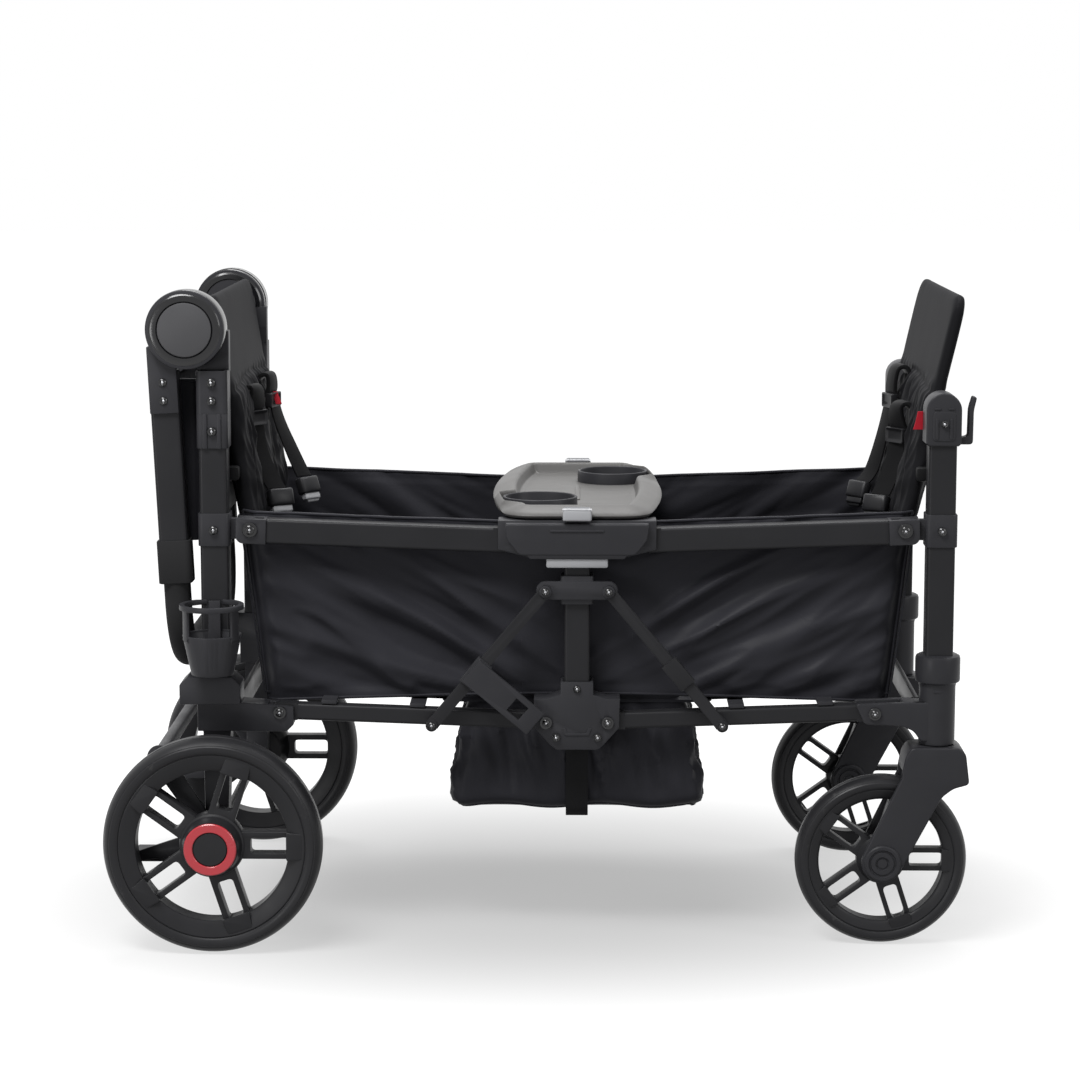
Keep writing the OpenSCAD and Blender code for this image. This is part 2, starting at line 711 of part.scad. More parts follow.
module on_arm() translate([arm_x, 0, arm_top]) rotate([0, -arm_lean, 0]) children();
module lug() {
    difference() {
        union() {
            pin(pivot_x, handle_pivot_z, -disc_out, -gap, disc_r);
            on_arm() box([-arm_w * half, -arm_d * half - lug_wall, gap],
                [arm_w * half, -gap, handle_pivot_z - lug_top_drop - arm_top]);
        }
        pin(pivot_x, handle_pivot_z, -hub_pin_len - cut, cut, hub_pin_r + fit);
        pin(pivot_x, handle_pivot_z, -disc_out - cut, -recess_in, pad_r + gap);
    }
    on_arm() box([-arm_w * half, -arm_d * half - lug_wall, lug_low - arm_top],
        [arm_w * half, -arm_d * half - gap * half, gap + cut]);
}
module handle_lugs() color(charcoal) both_sides() lug();
module handle_pad(side) color(graphite) on_side(side) pin(pivot_x, handle_pivot_z, -pad_out, -pad_in, pad_r);
module handle_pad_right() handle_pad(RIGHT);
module handle_pad_left() handle_pad(LEFT);

module handle_arms() color(charcoal) both_sides() on_arm() translate([0, 0, -arm_len])
    rect_tube(arm_w, arm_d, corner_r, tube_wall, arm_len);

collar_h = 50;
collar_wall = 3;
module grip_side() on_arm() {
    translate([0, 0, -arm_len - gap - grip_drop + grip_bend]) cylinder(r = grip_r, h = grip_drop - grip_bend);
    translate([0, grip_bend, -arm_len - gap - grip_drop + grip_bend]) rotate([0, 90, 0]) rotate([0, 0, -90])
        rotate_extrude(angle = 90) translate([grip_bend, 0]) circle(grip_r);
    translate([0, grip_bend, -arm_len - gap - grip_drop]) rotate([-90, 0, 0])
        cylinder(r = grip_r, h = side_y - grip_bend);
    difference() {
        translate([0, 0, -arm_len - gap]) linear_extrude(collar_h)
            soft_rect(arm_w + collar_wall * 2, arm_d + collar_wall * 2, corner_r + collar_wall);
        translate([0, 0, -arm_len]) linear_extrude(collar_h + cut)
            soft_rect(arm_w + gap, arm_d + gap, corner_r);
    }
}
module handle_grip() color(graphite) both_sides() grip_side();

// Parking brake: two foot levers on the rear axle, tied by a cross bar
lever_y0 = 18;
lever_y1 = 22;
lever_r = 14;
bar_back = 65;
bar_up = 95;
brake_bar_r = 8.5;
pedal_back = 96;
pedal_drop = 18;
pedal_t = 12;
pedal_w = 34;
pedal_len = 40;
lever_arm = 9;
axle_x = -post_x - wheel_back;
bar_z_at = rear_r + bar_up;
module lever() difference() {
    union() {
        pin(axle_x, rear_r, -lever_y1, -lever_y0, lever_r);
        plate(-lever_y1, -lever_y0) polygon([
            [axle_x, rear_r + lever_r], [axle_x - bar_back + lever_arm, bar_z_at + lever_arm],
            [axle_x - bar_back - lever_arm, bar_z_at - lever_arm], [axle_x - lever_r, rear_r]]);
        pin(axle_x - bar_back, bar_z_at, -lever_y1, -lever_y0, lever_r);
        plate(-lever_y1, -lever_y0) polygon([
            [axle_x, rear_r + lever_r], [axle_x, rear_r - lever_r],
            [axle_x - pedal_back, rear_r - pedal_drop - pedal_t],
            [axle_x - pedal_back, rear_r - pedal_drop]]);
        box([axle_x - pedal_back, -lever_y0 - cut, rear_r - pedal_drop - pedal_t],
            [axle_x - pedal_back + pedal_len, pedal_w - lever_y0, rear_r - pedal_drop]);
    }
    pin(axle_x, rear_r, -lever_y1 - cut, -lever_y0 + cut, axle_r + fit);
}
module parking_brake() color(graphite) {
    both_sides() lever();
    place() pin(axle_x - bar_back, bar_z_at, -side_y - lever_y1, side_y + lever_y1, brake_bar_r);
}

// Wheels, modelled about their own centre with the axle along Y
rim_wall = 5;
rim_seat_share = 0.72;
hub_r = 30;
spoke_t = 7;
spoke_gap = 26;
spoke_w_share = 0.5;
bead = 4;
hub_face_r = 20;
ring_h = 3;
module spun() rotate([90, 0, 0]) rotate_extrude() children();
module tyre(r, w) {
    rim_r = r - tyre_h;
    spun() difference() {
        union() {
            translate([rim_r + gap * half, -w * rim_seat_share * half])
                square([tyre_h - w * half * rim_seat_share, w * rim_seat_share]);
            translate([r - w * half, 0]) circle(w * half);
            translate([rim_r + bead, -w * half]) square([tyre_h - bead - w * half, w]);
        }
        translate([0, -r]) square([rim_r + gap * half, r * 2]);
    }
}
// The hub reaches out_y outwards and in_y inwards; its bore stops short of the closed outer face
module rim(r, w, bore_r, out_y, in_y, shut) {
    rim_r = r - tyre_h;
    barrel = w * rim_seat_share;
    difference() {
        union() {
            spun() translate([rim_r - rim_wall, -barrel * half]) square([rim_wall, barrel]);
            spun() translate([0, -in_y]) square([hub_r, in_y + out_y]);
            for (k = [0 : spokes - 1], j = [-1, 1]) rotate([0, k * turn / spokes, 0])
                translate([hub_r * half, -barrel * half * spoke_w_share, j * spoke_gap * half - spoke_t * half])
                    cube([rim_r - rim_wall * half - hub_r * half, barrel * spoke_w_share, spoke_t]);
        }
        pin(0, 0, shut - out_y, in_y + cut, bore_r + fit);
    }
}
module at_rear_wheel(side) place() mirror([0, side, 0]) translate([axle_x, -rear_wheel_y, rear_r]) children();
module at_front_wheel(side) on_side(side) translate([front_axle_x, 0, front_r]) children();
module rear_tyre_right() color(tyre_black) at_rear_wheel(RIGHT) tyre(rear_r, rear_tyre_w);
module rear_tyre_left() color(tyre_black) at_rear_wheel(LEFT) tyre(rear_r, rear_tyre_w);
module rear_rim() rim(rear_r, rear_tyre_w, axle_r, hub_out, hub_in, hub_shut);
module rear_rim_right() color(graphite) at_rear_wheel(RIGHT) rear_rim();
module rear_rim_left() color(graphite) at_rear_wheel(LEFT) rear_rim();
module hub_ring() spun() translate([hub_face_r, hub_out]) square([hub_r - hub_face_r, ring_h]);
module rear_hub_ring_right() color(accent_red) at_rear_wheel(RIGHT) hub_ring();
module rear_hub_ring_left() color(accent_red) at_rear_wheel(LEFT) hub_ring();
front_axle_r = 5;
fork_gap = 2;
front_hub = front_tyre_w * half + fork_gap * half;
module front_rim() rim(front_r, front_tyre_w, front_axle_r, front_hub, front_hub, -fork_gap);
module front_tyre_right() color(tyre_black) at_front_wheel(RIGHT) tyre(front_r, front_tyre_w);
module front_tyre_left() color(tyre_black) at_front_wheel(LEFT) tyre(front_r, front_tyre_w);
module front_rim_right() color(graphite) at_front_wheel(RIGHT) front_rim();
module front_rim_left() color(graphite) at_front_wheel(LEFT) front_rim();

// Caster forks
head_front = 34;
head_back = 43;
head_low = 206;
head_high = column_bottom - gap * 2;
head_slope = 10;
fork_in = front_hub + fork_gap * half;
fork_arm_t = 7;
fork_out = fork_in + fork_arm_t;
fork_knee = 184;
hub_pad = 24;
hub_cap_r = 21;
hub_cap_t = 3;
stem_top = post_bottom - tube_wall * 4;
module fork(side) color(charcoal) on_side(side) {
    difference() {
        plate(-fork_out, fork_out) {
            polygon([
                [caster_x + head_front, head_low], [caster_x + head_front, head_high - head_slope],
                [caster_x + head_front - head_slope, head_high], [caster_x - head_back + head_slope, head_high],
                [caster_x - head_back, head_high - head_slope], [caster_x - head_back, head_low]]);
            polygon([
                [caster_x + head_front, head_low], [caster_x + head_front - head_slope, fork_knee],
                [front_axle_x + hub_pad * half, front_r - hub_pad],
                [front_axle_x - hub_pad, front_r], [caster_x - head_back, head_low]]);
            translate([front_axle_x, front_r]) circle(hub_pad);
        }
        box([front_axle_x - front_r, -fork_in, 0], [caster_x + front_r, fork_in, head_low]);
    }
    pin(front_axle_x, front_r, -fork_in - cut, fork_in + cut, front_axle_r);
    pin(front_axle_x, front_r, -fork_out - hub_cap_t, -fork_out + cut, hub_cap_r);
    translate([caster_x, 0, head_high - cut]) cylinder(r = stem_r, h = stem_top - head_high + cut);
}
module caster_fork_right() fork(RIGHT);
module caster_fork_left() fork(LEFT);

// Cup holder on the right rear post
cup_nest = 7;
cup_y = side_y + post_half + gap + cup_r - cup_nest;
cup_rim_z = 407;
cup_rim_h = 6;
cup_wall = 3;
cup_body_top = 372;
cup_low_z = 325;
cup_low_r = 24;
cup_body_r = 34;
finger_w = 14;
finger_angles = [30, 150, 270];
cup_arm = 28;
module cup_holder() color(charcoal) place() difference() {
    translate([-post_x, -cup_y, 0]) {
        translate([0, 0, cup_rim_z - cup_rim_h]) round_tube(cup_r, cup_wall * 2, cup_rim_h);
        intersection() {
            translate([0, 0, cup_low_z]) round_tube(cup_body_r, cup_wall, cup_rim_z - cup_low_z - cut);
            for (angle = finger_angles) rotate([0, 0, angle + turn * half])
                box([0, -finger_w * half, cup_body_top - cup_rim_h], [cup_r, finger_w * half, cup_rim_z - cut]);
        }
        difference() {
            translate([0, 0, cup_low_z]) cylinder(r1 = cup_low_r, r2 = cup_body_r, h = cup_body_top - cup_low_z);
            translate([0, 0, cup_low_z + cup_wall])
                cylinder(r1 = cup_low_r - cup_wall, r2 = cup_body_r - cup_wall, h = cup_body_top - cup_low_z - cup_wall);
            translate([0, 0, cup_body_top - cut]) cylinder(r = cup_body_r - cup_wall, h = cut * 2);
        }
        difference() {
            box([-finger_w * half, 0, cup_low_z + cup_rim_h], [finger_w * half, cup_arm, cup_rim_z - cut]);
            translate([0, 0, cup_low_z]) cylinder(r = cup_body_r - cup_wall, h = cup_rim_z);
        }
        box([-finger_w * half, cup_low_r, cup_low_z + cup_rim_h], [finger_w * half, cup_r, cup_rim_z - cut]);
    }
    box([-post_x - post_w, -side_y - post_half - gap, 0], [-post_x + post_w, 0, cup_rim_z + cut]);
}

// Closed soft panels from two point grids
function grid(f, nu, nv) = [for (j = [0 : nv], i = [0 : nu]) f(i / nu * 2 - 1, j / nv)];
module panel(front, back, nu, nv) {
    n = (nu + 1) * (nv + 1);
    row = nu + 1;
    skin = [for (j = [0 : nv - 1], i = [0 : nu - 1]) each [
        [j * row + i, (j + 1) * row + i, j * row + i + 1],
        [j * row + i + 1, (j + 1) * row + i, (j + 1) * row + i + 1]]];
    rim = concat(
        [for (i = [0 : nu - 1]) each [[i, i + 1, n + i], [i + 1, n + i + 1, n + i]]],
        [for (i = [0 : nu - 1]) let (a = nv * row + i) each [[a + 1, a, n + a], [a + 1, n + a, n + a + 1]]],
        [for (j = [0 : nv - 1]) let (a = j * row) each [[a + row, a, n + a], [a + row, n + a, n + a + row]]],
        [for (j = [0 : nv - 1]) let (a = j * row + nu) each [[a, a + row, n + a], [a + row, n + a + row, n + a]]]);
    polyhedron(points = concat(grid(front, nu, nv), grid(back, nu, nv)),
        faces = concat(skin, [for (t = skin) [t[0] + n, t[2] + n, t[1] + n]], rim));
}

// Seat backs: padded boards with full sides, a hollow between them and a seam channel
seat_half = side_y - wall_in - cut;
seat_edge = 12;
seat_draw = 7;
seat_bow = 6;
seat_hollow = 2;
seat_column_count = 18;
seat_row_count = 16;
channel_share = 0.6;
channel_width_share = 0.06;
channel_depth_share = 0.45;
tab_w = 24;
tab_h = 22;
tab_x = 40;
tab_back = 12;
tab_v_share = 0.26;
function seat_fade(v) = 1 - pow(v * 2 - 1, 6);
function puff(u, v) = (1 - pow(u, 4)) * seat_fade(v)
    * (1 - channel_depth_share * exp(-pow((v - channel_share) / channel_width_share, 2)));
function seat_y(u, v) = u * (seat_half - seat_draw * (1 - pow(v * 2 - 1, 2)));
function seat_z(u, v, h) = v * h + (v - half) * 2 * seat_bow * (1 - u * u);
function seat_back_x(u, v) = -seat_edge * half - (seat_t - seat_edge) * half * puff(u, v);
function seat_face_x(u, v) = -seat_back_x(u, v) - seat_hollow * pow(1 - u * u, 2) * seat_fade(v);
module seat_back(h) {
    panel(function(u, v) [seat_face_x(u, v), seat_y(u, v), seat_z(u, v, h)],
        function(u, v) [seat_back_x(u, v), seat_y(u, v), seat_z(u, v, h)], seat_column_count, seat_row_count);
    for (i = [-1, 1])
        translate([-tab_back, i * (side_y - post_half - gap - tab_w * half), h * tab_v_share])
            cube([tab_x, tab_w, tab_h], center = true);
}
rear_seat_inset = 47.4;
front_seat_inset = 40;
rear_seat_x = post_x - rear_seat_inset;
rear_seat_z = 474;
rear_seat_h = 287;
front_seat_x = post_x - front_seat_inset;
front_seat_z = 474;
front_seat_h = 293;
module at_rear_seat() place() translate([-rear_seat_x, 0, rear_seat_z]) rotate([0, -rear_seat_lean, 0]) children();
module at_front_seat() place() mirror([1, 0, 0]) translate([-front_seat_x, 0, front_seat_z])
    rotate([0, -front_seat_lean, 0]) children();
module rear_seat_back() color(black_cloth) at_rear_seat() seat_back(rear_seat_h);
module front_seat_back() color(black_cloth) at_front_seat() seat_back(front_seat_h);

// Shoulder straps with a buckle at each strap's foot
strap_w = 26;
strap_t = 2.5;
strap_y = 62;
strap_top_share = 0.56;
strap_low_share = 0.2;
buckle_w = 36;
buckle_h = 34;
buckle_v_share = 0.35;
strap_x = seat_face_x((strap_y + buckle_w * half) / seat_half, buckle_v_share) + gap;
buckle_t = 9;
module harness(h) for (i = [-1, 1]) translate([strap_x, i * strap_y, 0]) {
    box([0, -strap_w * half, h * strap_low_share], [strap_t, strap_w * half, h * strap_top_share]);
    box([0, -buckle_w * half, h * strap_low_share - buckle_h],
        [buckle_t, buckle_w * half, h * strap_low_share + strap_t]);
}
module rear_harness() color(graphite) at_rear_seat() harness(rear_seat_h);
module front_harness() color(graphite) at_front_seat() harness(front_seat_h);

// End walls of the tub, with the soft folds of hanging cloth
end_inset = 18;
end_slant = 31;
end_rise = 14;
end_lift = 17.5;
end_top_x = post_x - end_inset;
end_top_z = upper_pivot_z + end_rise;
end_low_x = end_top_x - end_slant;
end_low_z = lower_pivot_z + end_lift;
end_half = side_y - wall_in - gap;
end_fold = 3;
end_fold_count = 3;
cloth_column_count = 24;
cloth_row_count = 6;
function end_ripple(u, v) = end_fold * (1 - u * u) * sin(u * turn * half * end_fold_count) * v;
function end_line(v) = -end_low_x + (end_low_x - end_top_x) * v;
function end_high(v) = end_low_z + (end_top_z - end_low_z) * v;
module end_wall() place() panel(
    function(u, v) [end_line(v) + end_ripple(u, v), u * end_half, end_high(v)],
    function(u, v) [end_line(v) + end_ripple(u, v) - cloth_t, u * end_half, end_high(v)],
    cloth_column_count, cloth_row_count);
module rear_end_panel() color(black_cloth) end_wall();
module front_end_panel() color(black_cloth) translate([origin_x, 0, 0]) mirror([1, 0, 0])
    translate([-origin_x, 0, 0]) end_wall();

// Storage pocket behind the rear seat
pocket_reach = 60;
pocket_clear = 19;
pocket_out = post_x + pocket_reach;
pocket_in = post_x + pocket_clear;
pocket_low = 470;
pocket_top = 656;
pocket_half = 188;
pocket_slant = 14;
hem_h = 16;
hem_reach = 6;
hem_in = post_x + hem_reach;
module rear_pocket() color(black_cloth) place() {
    difference() {
        plate(-pocket_half, pocket_half) polygon([
            [-pocket_out + pocket_slant, pocket_low], [-pocket_in - cut, pocket_low],
            [-pocket_in, pocket_top], [-pocket_out, pocket_top]]);
        plate(-pocket_half + cloth_t, pocket_half - cloth_t) polygon([
            [-pocket_out + pocket_slant + cloth_t, pocket_low + cloth_t], [-pocket_in - cloth_t, pocket_low + cloth_t],
            [-pocket_in - cloth_t, pocket_top + cut], [-pocket_out + cloth_t, pocket_top + cut]]);
    }
    box([-pocket_in - cut, -side_y + sleeve_half + gap * 2, pocket_top - hem_h],
        [-hem_in, side_y - sleeve_half - gap * 2, pocket_top]);
}

// Foot well: a soft open box under the middle of the floor
well_inset = 4;
well_half_y = side_y - wall_in - well_inset;
well_top_x = 140;
well_rim_t = 4;
well_rim_z = 288;
well_foot_z = well_rim_z - well_depth;
module foot_well() color(black_cloth) place() difference() {
    union() {
        plate(-well_half_y, well_half_y) polygon([
            [-well_top_x, well_rim_z], [well_top_x, well_rim_z],
            [well_len * half, well_foot_z], [-well_len * half, well_foot_z]]);
        box([-well_rim_x, gap * 2 - end_half, well_rim_z - well_rim_t], [well_rim_x, end_half - gap * 2, well_rim_z]);
    }
    plate(-well_half_y + cloth_t, well_half_y - cloth_t) polygon([
        [-well_top_x + cloth_t, well_rim_z + cut], [well_top_x - cloth_t, well_rim_z + cut],
        [well_len * half - cloth_t, well_foot_z + cloth_t], [-well_len * half + cloth_t, well_foot_z + cloth_t]]);
}

// Side walls of the tub, hung from the upper rails
wall_half_x = end_top_x + cloth_t;
wall_draw = end_slant;
wall_lift = 17;
wall_fold = 4;
wall_fold_count = 4;
wall_column_count = 40;
wall_row_count = 6;
function wall_x(u, v) = u * (wall_half_x - wall_draw * (1 - v));
function wall_low(x) = lower_mid_z + max(abs(x) - lower_mid_x, 0) * tan(rail_sag) + wall_lift;
function wall_top(x) = upper_mid_z + max(abs(x) - upper_mid_x, 0) * tan(rail_sag) + rail_top + hem_rise;
function wall_z(u, v) = let (x = wall_x(u, v)) wall_low(x) + (wall_top(x) - wall_low(x)) * v;
function wall_ripple(u, v) = wall_fold * 4 * v * (1 - v) * (1 - u * u) * pow(sin(u * turn * half * wall_fold_count), 2);
module side_wall() panel(
    function(u, v) [wall_x(u, v), wall_y + wall_ripple(u, v), wall_z(u, v)],
    function(u, v) [wall_x(u, v), wall_in + wall_ripple(u, v), wall_z(u, v)], wall_column_count, wall_row_count);
module tub_side_walls() color(black_cloth) both_sides() side_wall();

// Snack tray across the two rail housings
tray_end_x = 163.4;
tray_corner = 30;
tray_bow = 1010;
tray_blend_share = 0.2;
tray_lift = 6.5;
tray_low = housing_top + tray_lift;
tray_plate = 4;
tray_lip = 7;
tray_wall = 3;
well_r = 40;
tray_cup_x = 44;
tray_cup_y = 128;
basin_x = 150;
basin_y = 110;
basin_r = 20;
clip_half = 16;
clip_out = 28;
clip_in = 10;
// Outline of the tray: bowed sides that run into rounded ends
module tray_plan(grow) {
    soft_rect(tray_end_x + grow * 2, tray_y + grow * 2, tray_corner + grow);
    intersection() {
        translate([tray_x * half - tray_bow, 0]) circle(tray_bow + grow);
        translate([tray_bow - tray_x * half, 0]) circle(tray_bow + grow);
        square([tray_x * 2, tray_y - tray_corner * 2 * (1 - tray_blend_share)], center = true);
    }
}
module tray_wells(grow, low) {
    for (i = [-1, 1]) translate([i * tray_cup_x, i * tray_cup_y, low])
        cylinder(r = well_r + grow, h = tray_low + tray_plate + cut - low);
    translate([0, 0, low + tray_depth * half])
        linear_extrude(tray_low + tray_plate + cut - low - tray_depth * half)
            soft_rect(basin_x + grow * 2, basin_y + grow * 2, basin_r + grow);
}
module snack_tray() color(tray_grey) {
    place() difference() {
        union() {
            translate([0, 0, tray_low]) linear_extrude(tray_plate + tray_lip) tray_plan(0);
            intersection() {
                tray_wells(tray_wall, tray_low - tray_depth);
                translate([-tray_x, -tray_y, 0]) cube([tray_x * 2, tray_y * 2, tray_low + cut]);
            }
        }
        translate([0, 0, tray_low + tray_plate]) linear_extrude(tray_lip + cut) tray_plan(-tray_wall);
        tray_wells(0, tray_low - tray_depth + tray_wall);
    }
    both_sides() box([-clip_half, -clip_out, housing_top + gap], [clip_half, -clip_in, tray_low + cut]);
}

rear_posts();
rear_post_brackets();
rear_lower_brackets();
handle_hubs();
rear_cross_bar();
rear_axle();
cup_holder();
rear_seat_back();
rear_harness();
rear_end_panel();
rear_pocket();
rear_rivets();
rear_upper_rails();
rear_rail_ends();
rear_lower_rails();
rear_floor_board();
middle_posts();
rail_housings();
middle_brackets();
middle_rivets();
foot_well();
tub_side_walls();
brace_sliders();
rear_braces();
fold_latches();
front_braces();
front_upper_rails();
front_rail_ends();
front_lower_rails();
front_floor_board();
front_posts();
front_post_brackets();
caster_housings();
hook_caps();
front_cross_bar();
front_seat_back();
front_harness();
front_end_panel();
front_rivets();
caster_fork_right();
caster_fork_left();
front_tyre_right();
front_tyre_left();
front_rim_right();
front_rim_left();
rear_tyre_right();
rear_tyre_left();
rear_rim_right();
rear_rim_left();
handle_lugs();
handle_arms();
handle_grip();
handle_pad_right();
handle_pad_left();
parking_brake();
rear_hub_ring_right();
rear_hub_ring_left();
snack_tray();
release_button_right();
release_button_left();
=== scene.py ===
import json
import math

import bmesh
import bpy
from mathutils import Matrix, Vector, noise


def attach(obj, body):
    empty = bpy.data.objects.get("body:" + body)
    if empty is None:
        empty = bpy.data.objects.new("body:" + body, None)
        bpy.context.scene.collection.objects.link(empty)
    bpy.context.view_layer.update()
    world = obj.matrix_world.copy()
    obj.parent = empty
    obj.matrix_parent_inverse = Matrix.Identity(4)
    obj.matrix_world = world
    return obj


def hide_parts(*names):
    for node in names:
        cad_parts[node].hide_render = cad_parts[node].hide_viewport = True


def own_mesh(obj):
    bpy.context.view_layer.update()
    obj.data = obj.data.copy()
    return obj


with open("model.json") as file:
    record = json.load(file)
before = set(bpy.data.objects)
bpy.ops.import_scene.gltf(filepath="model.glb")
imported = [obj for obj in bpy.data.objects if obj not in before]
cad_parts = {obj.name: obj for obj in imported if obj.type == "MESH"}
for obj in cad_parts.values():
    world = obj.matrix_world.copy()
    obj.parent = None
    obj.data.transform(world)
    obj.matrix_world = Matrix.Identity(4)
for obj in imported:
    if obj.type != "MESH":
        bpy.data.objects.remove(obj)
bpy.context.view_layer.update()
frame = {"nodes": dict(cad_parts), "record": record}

MM = 0.001
# The fold line's place along X and the rail planes' place along Y, in mm
FOLD_X = 47.5
SIDE_Y = 218
RIGHT, LEFT = -1, 1
SIDES = {"right": RIGHT, "left": LEFT}
ENDS = {"rear": -1, "front": 1}
# Post, wheel centres and handle pivot, in mm: along from the fold line, out from the middle, up
POST_X = 418
REAR_WHEEL = (-420, 268, 127)
FRONT_WHEEL = (355, SIDE_Y, 100)
HANDLE_PIVOT = (-446.8, SIDE_Y, 718.5)
# The rails' slope towards the middle, and their outer pivots: (along, up) and (along, across, up)
RAIL_SLOPE = math.radians(2.08)
SAG = math.tan(RAIL_SLOPE)
UPPER_PIVOT = (376.6, 488)
LOWER_PIVOT = (-344.5, 0, 274.5)


def at(x, y, z):
    """A point in mm from the fold line, as metres in the shared frame."""
    return Vector(((x + FOLD_X) * MM, y * MM, z * MM))


def by(x, y, z):
    """A move in mm."""
    return Matrix.Translation(Vector((x, y, z)) * MM)


def flip(sign):
    """Mirrors to the left side what is modelled for the right."""
    return Matrix.Scale(-1, 4, (0, 1, 0)) if sign == LEFT else Matrix.Identity(4)


def beside(x, out, z, sign):
    """Carries a piece modelled for the right side to its place on either side."""
    return Matrix.Translation(at(x, sign * out, z)) @ flip(sign)


def placed(name, data):
    """An object for this data, in the scene."""
    made = bpy.data.objects.new(name, data)
    bpy.context.scene.collection.objects.link(made)
    return made


# Stands up along Z what was spun about Y or drawn as a plate
UPRIGHT = Matrix.Rotation(math.radians(-90), 4, "X")
SPECULAR = "Specular IOR Level"


# Camera, lights and stage

def set_camera():
    # Lens, place and tilt come from the fit to the photo
    eye = bpy.data.cameras.new("photo_camera")
    eye.lens, eye.sensor_width = 100, 36
    camera = placed("photo_camera", eye)
    camera.location = (0.0531, -3.6444, 0.9695)
    camera.rotation_euler = (math.radians(90 - 8.217), 0, math.radians(0.811))
    bpy.context.scene.camera = camera


def linear(code):
    """An sRGB hex colour as linear RGBA."""
    parts = [int(code[i:i + 2], 16) / 255 for i in (1, 3, 5)]
    return [c / 12.92 if c <= 0.04045 else ((c + 0.055) / 1.055) ** 2.4 for c in parts] + [1.0]


def add(tree, kind, inputs=None, **settings):
    """One shader node with its settings; an input is a value or another node's output."""
    made = tree.nodes.new("ShaderNode" + kind)
    for key, value in settings.items():
        setattr(made, key, value)
    for key, value in (inputs or {}).items():
        if isinstance(value, bpy.types.NodeSocket):
            tree.links.new(value, made.inputs[key])
        else:
            made.inputs[key].default_value = value
    return made


def seen_by(tree, *rays):
    """1 for any of these kinds of ray, else 0."""
    path = add(tree, "LightPath")
    seen = path.outputs[rays[0]]
    for ray in rays[1:]:
        seen = add(tree, "Math", {0: seen, 1: path.outputs[ray]}, operation="MAXIMUM").outputs[0]
    return seen


def soft_box(name, size, place, aim, power):
    lamp = bpy.data.lights.new(name, "AREA")
    lamp.shape, lamp.size, lamp.size_y, lamp.energy = "RECTANGLE", size[0], size[1], power
    panel = placed(name, lamp)
    panel.location = place
    panel.rotation_euler = (Vector(aim) - Vector(place)).to_track_quat("-Z", "Y").to_euler()


def set_stage():
    scene = bpy.context.scene
    scene.view_settings.view_transform = "Standard"
    soft_box("key_softbox", (1.6, 0.9), (-1.0, -1.6, 2.9), (0, 0, 0.35), 88)
    soft_box("top_softbox", (2.4, 1.0), (0.3, 0.7, 2.6), (0, 0, 0.4), 58)
    soft_box("right_softbox", (0.7, 1.4), (2.4, -1.6, 1.6), (0, 0, 0.4), 18)
    soft_box("low_softbox", (0.8, 0.5), (-1.7, -2.3, 0.5), (0, 0, 0.3), 12)

    world = bpy.data.worlds.new("white_room")
    world.use_nodes = True
    scene.world = world
    tree = world.node_tree
    tree.nodes.clear()
    seen = seen_by(tree, "Is Camera Ray", "Is Glossy Ray", "Is Transmission Ray")
    level = add(tree, "MapRange", {"Value": seen, "To Min": 0.17, "To Max": 1.0})
    sky = add(tree, "Background", {"Color": linear("#ffffff"), "Strength": level.outputs[0]})
    add(tree, "OutputWorld", {"Surface": sky.outputs[0]})

    clear()
    bpy.ops.mesh.primitive_plane_add(size=40, location=(0, 0, -0.0006))
    floor = bpy.context.object
    floor.name = "floor"
    paper = bpy.data.materials.new("white_paper_floor")
    paper.use_nodes = True
    tree = paper.node_tree
    tree.nodes.clear()
    # The paper takes the real shadow and glows up to white away from the wagon; near the wagon the glow is
    # weaker, a painted broad shadow round it
    shade = add(tree, "BsdfDiffuse", {"Color": linear("#7c7c7c")})
    shrunk = add(tree, "Mapping", {"Vector": add(tree, "TexCoord").outputs["Object"], "Scale": (0.85, 1, 1)})
    away = add(tree, "VectorMath", {0: shrunk.outputs[0]}, operation="LENGTH")
    # Painted shadow: the glow is 0.46 within 0.15 m of the middle and rises to 1 by 0.8 m
    level = add(tree, "MapRange", {"Value": away.outputs["Value"], "From Min": 0.15, "From Max": 0.8,
                                   "To Min": 0.46, "To Max": 1.0}, interpolation_type="SMOOTHSTEP")
    seen = seen_by(tree, "Is Camera Ray", "Is Glossy Ray")
    glow_with_painted_shadow = add(tree, "Math", {0: seen, 1: level.outputs[0]}, operation="MULTIPLY")
    glow = add(tree, "Emission", {"Color": linear("#ffffff"), "Strength": glow_with_painted_shadow.outputs[0]})
    both = add(tree, "AddShader", {0: shade.outputs[0], 1: glow.outputs[0]})
    add(tree, "OutputMaterial", {"Surface": both.outputs[0]})
    floor.data.materials.append(paper)


# Materials

def start(name, rough, **sockets):
    """A material with its shader and the object coordinates its patterns use."""
    made = bpy.data.materials.new(name)
    made.use_nodes = True
    tree = made.node_tree
    tree.nodes.clear()
    shader = add(tree, "BsdfPrincipled", {"Roughness": rough, **sockets})
    add(tree, "OutputMaterial", {"Surface": shader.outputs[0]})
    place = add(tree, "TexCoord").outputs["Object"]
    return made, tree, shader, place


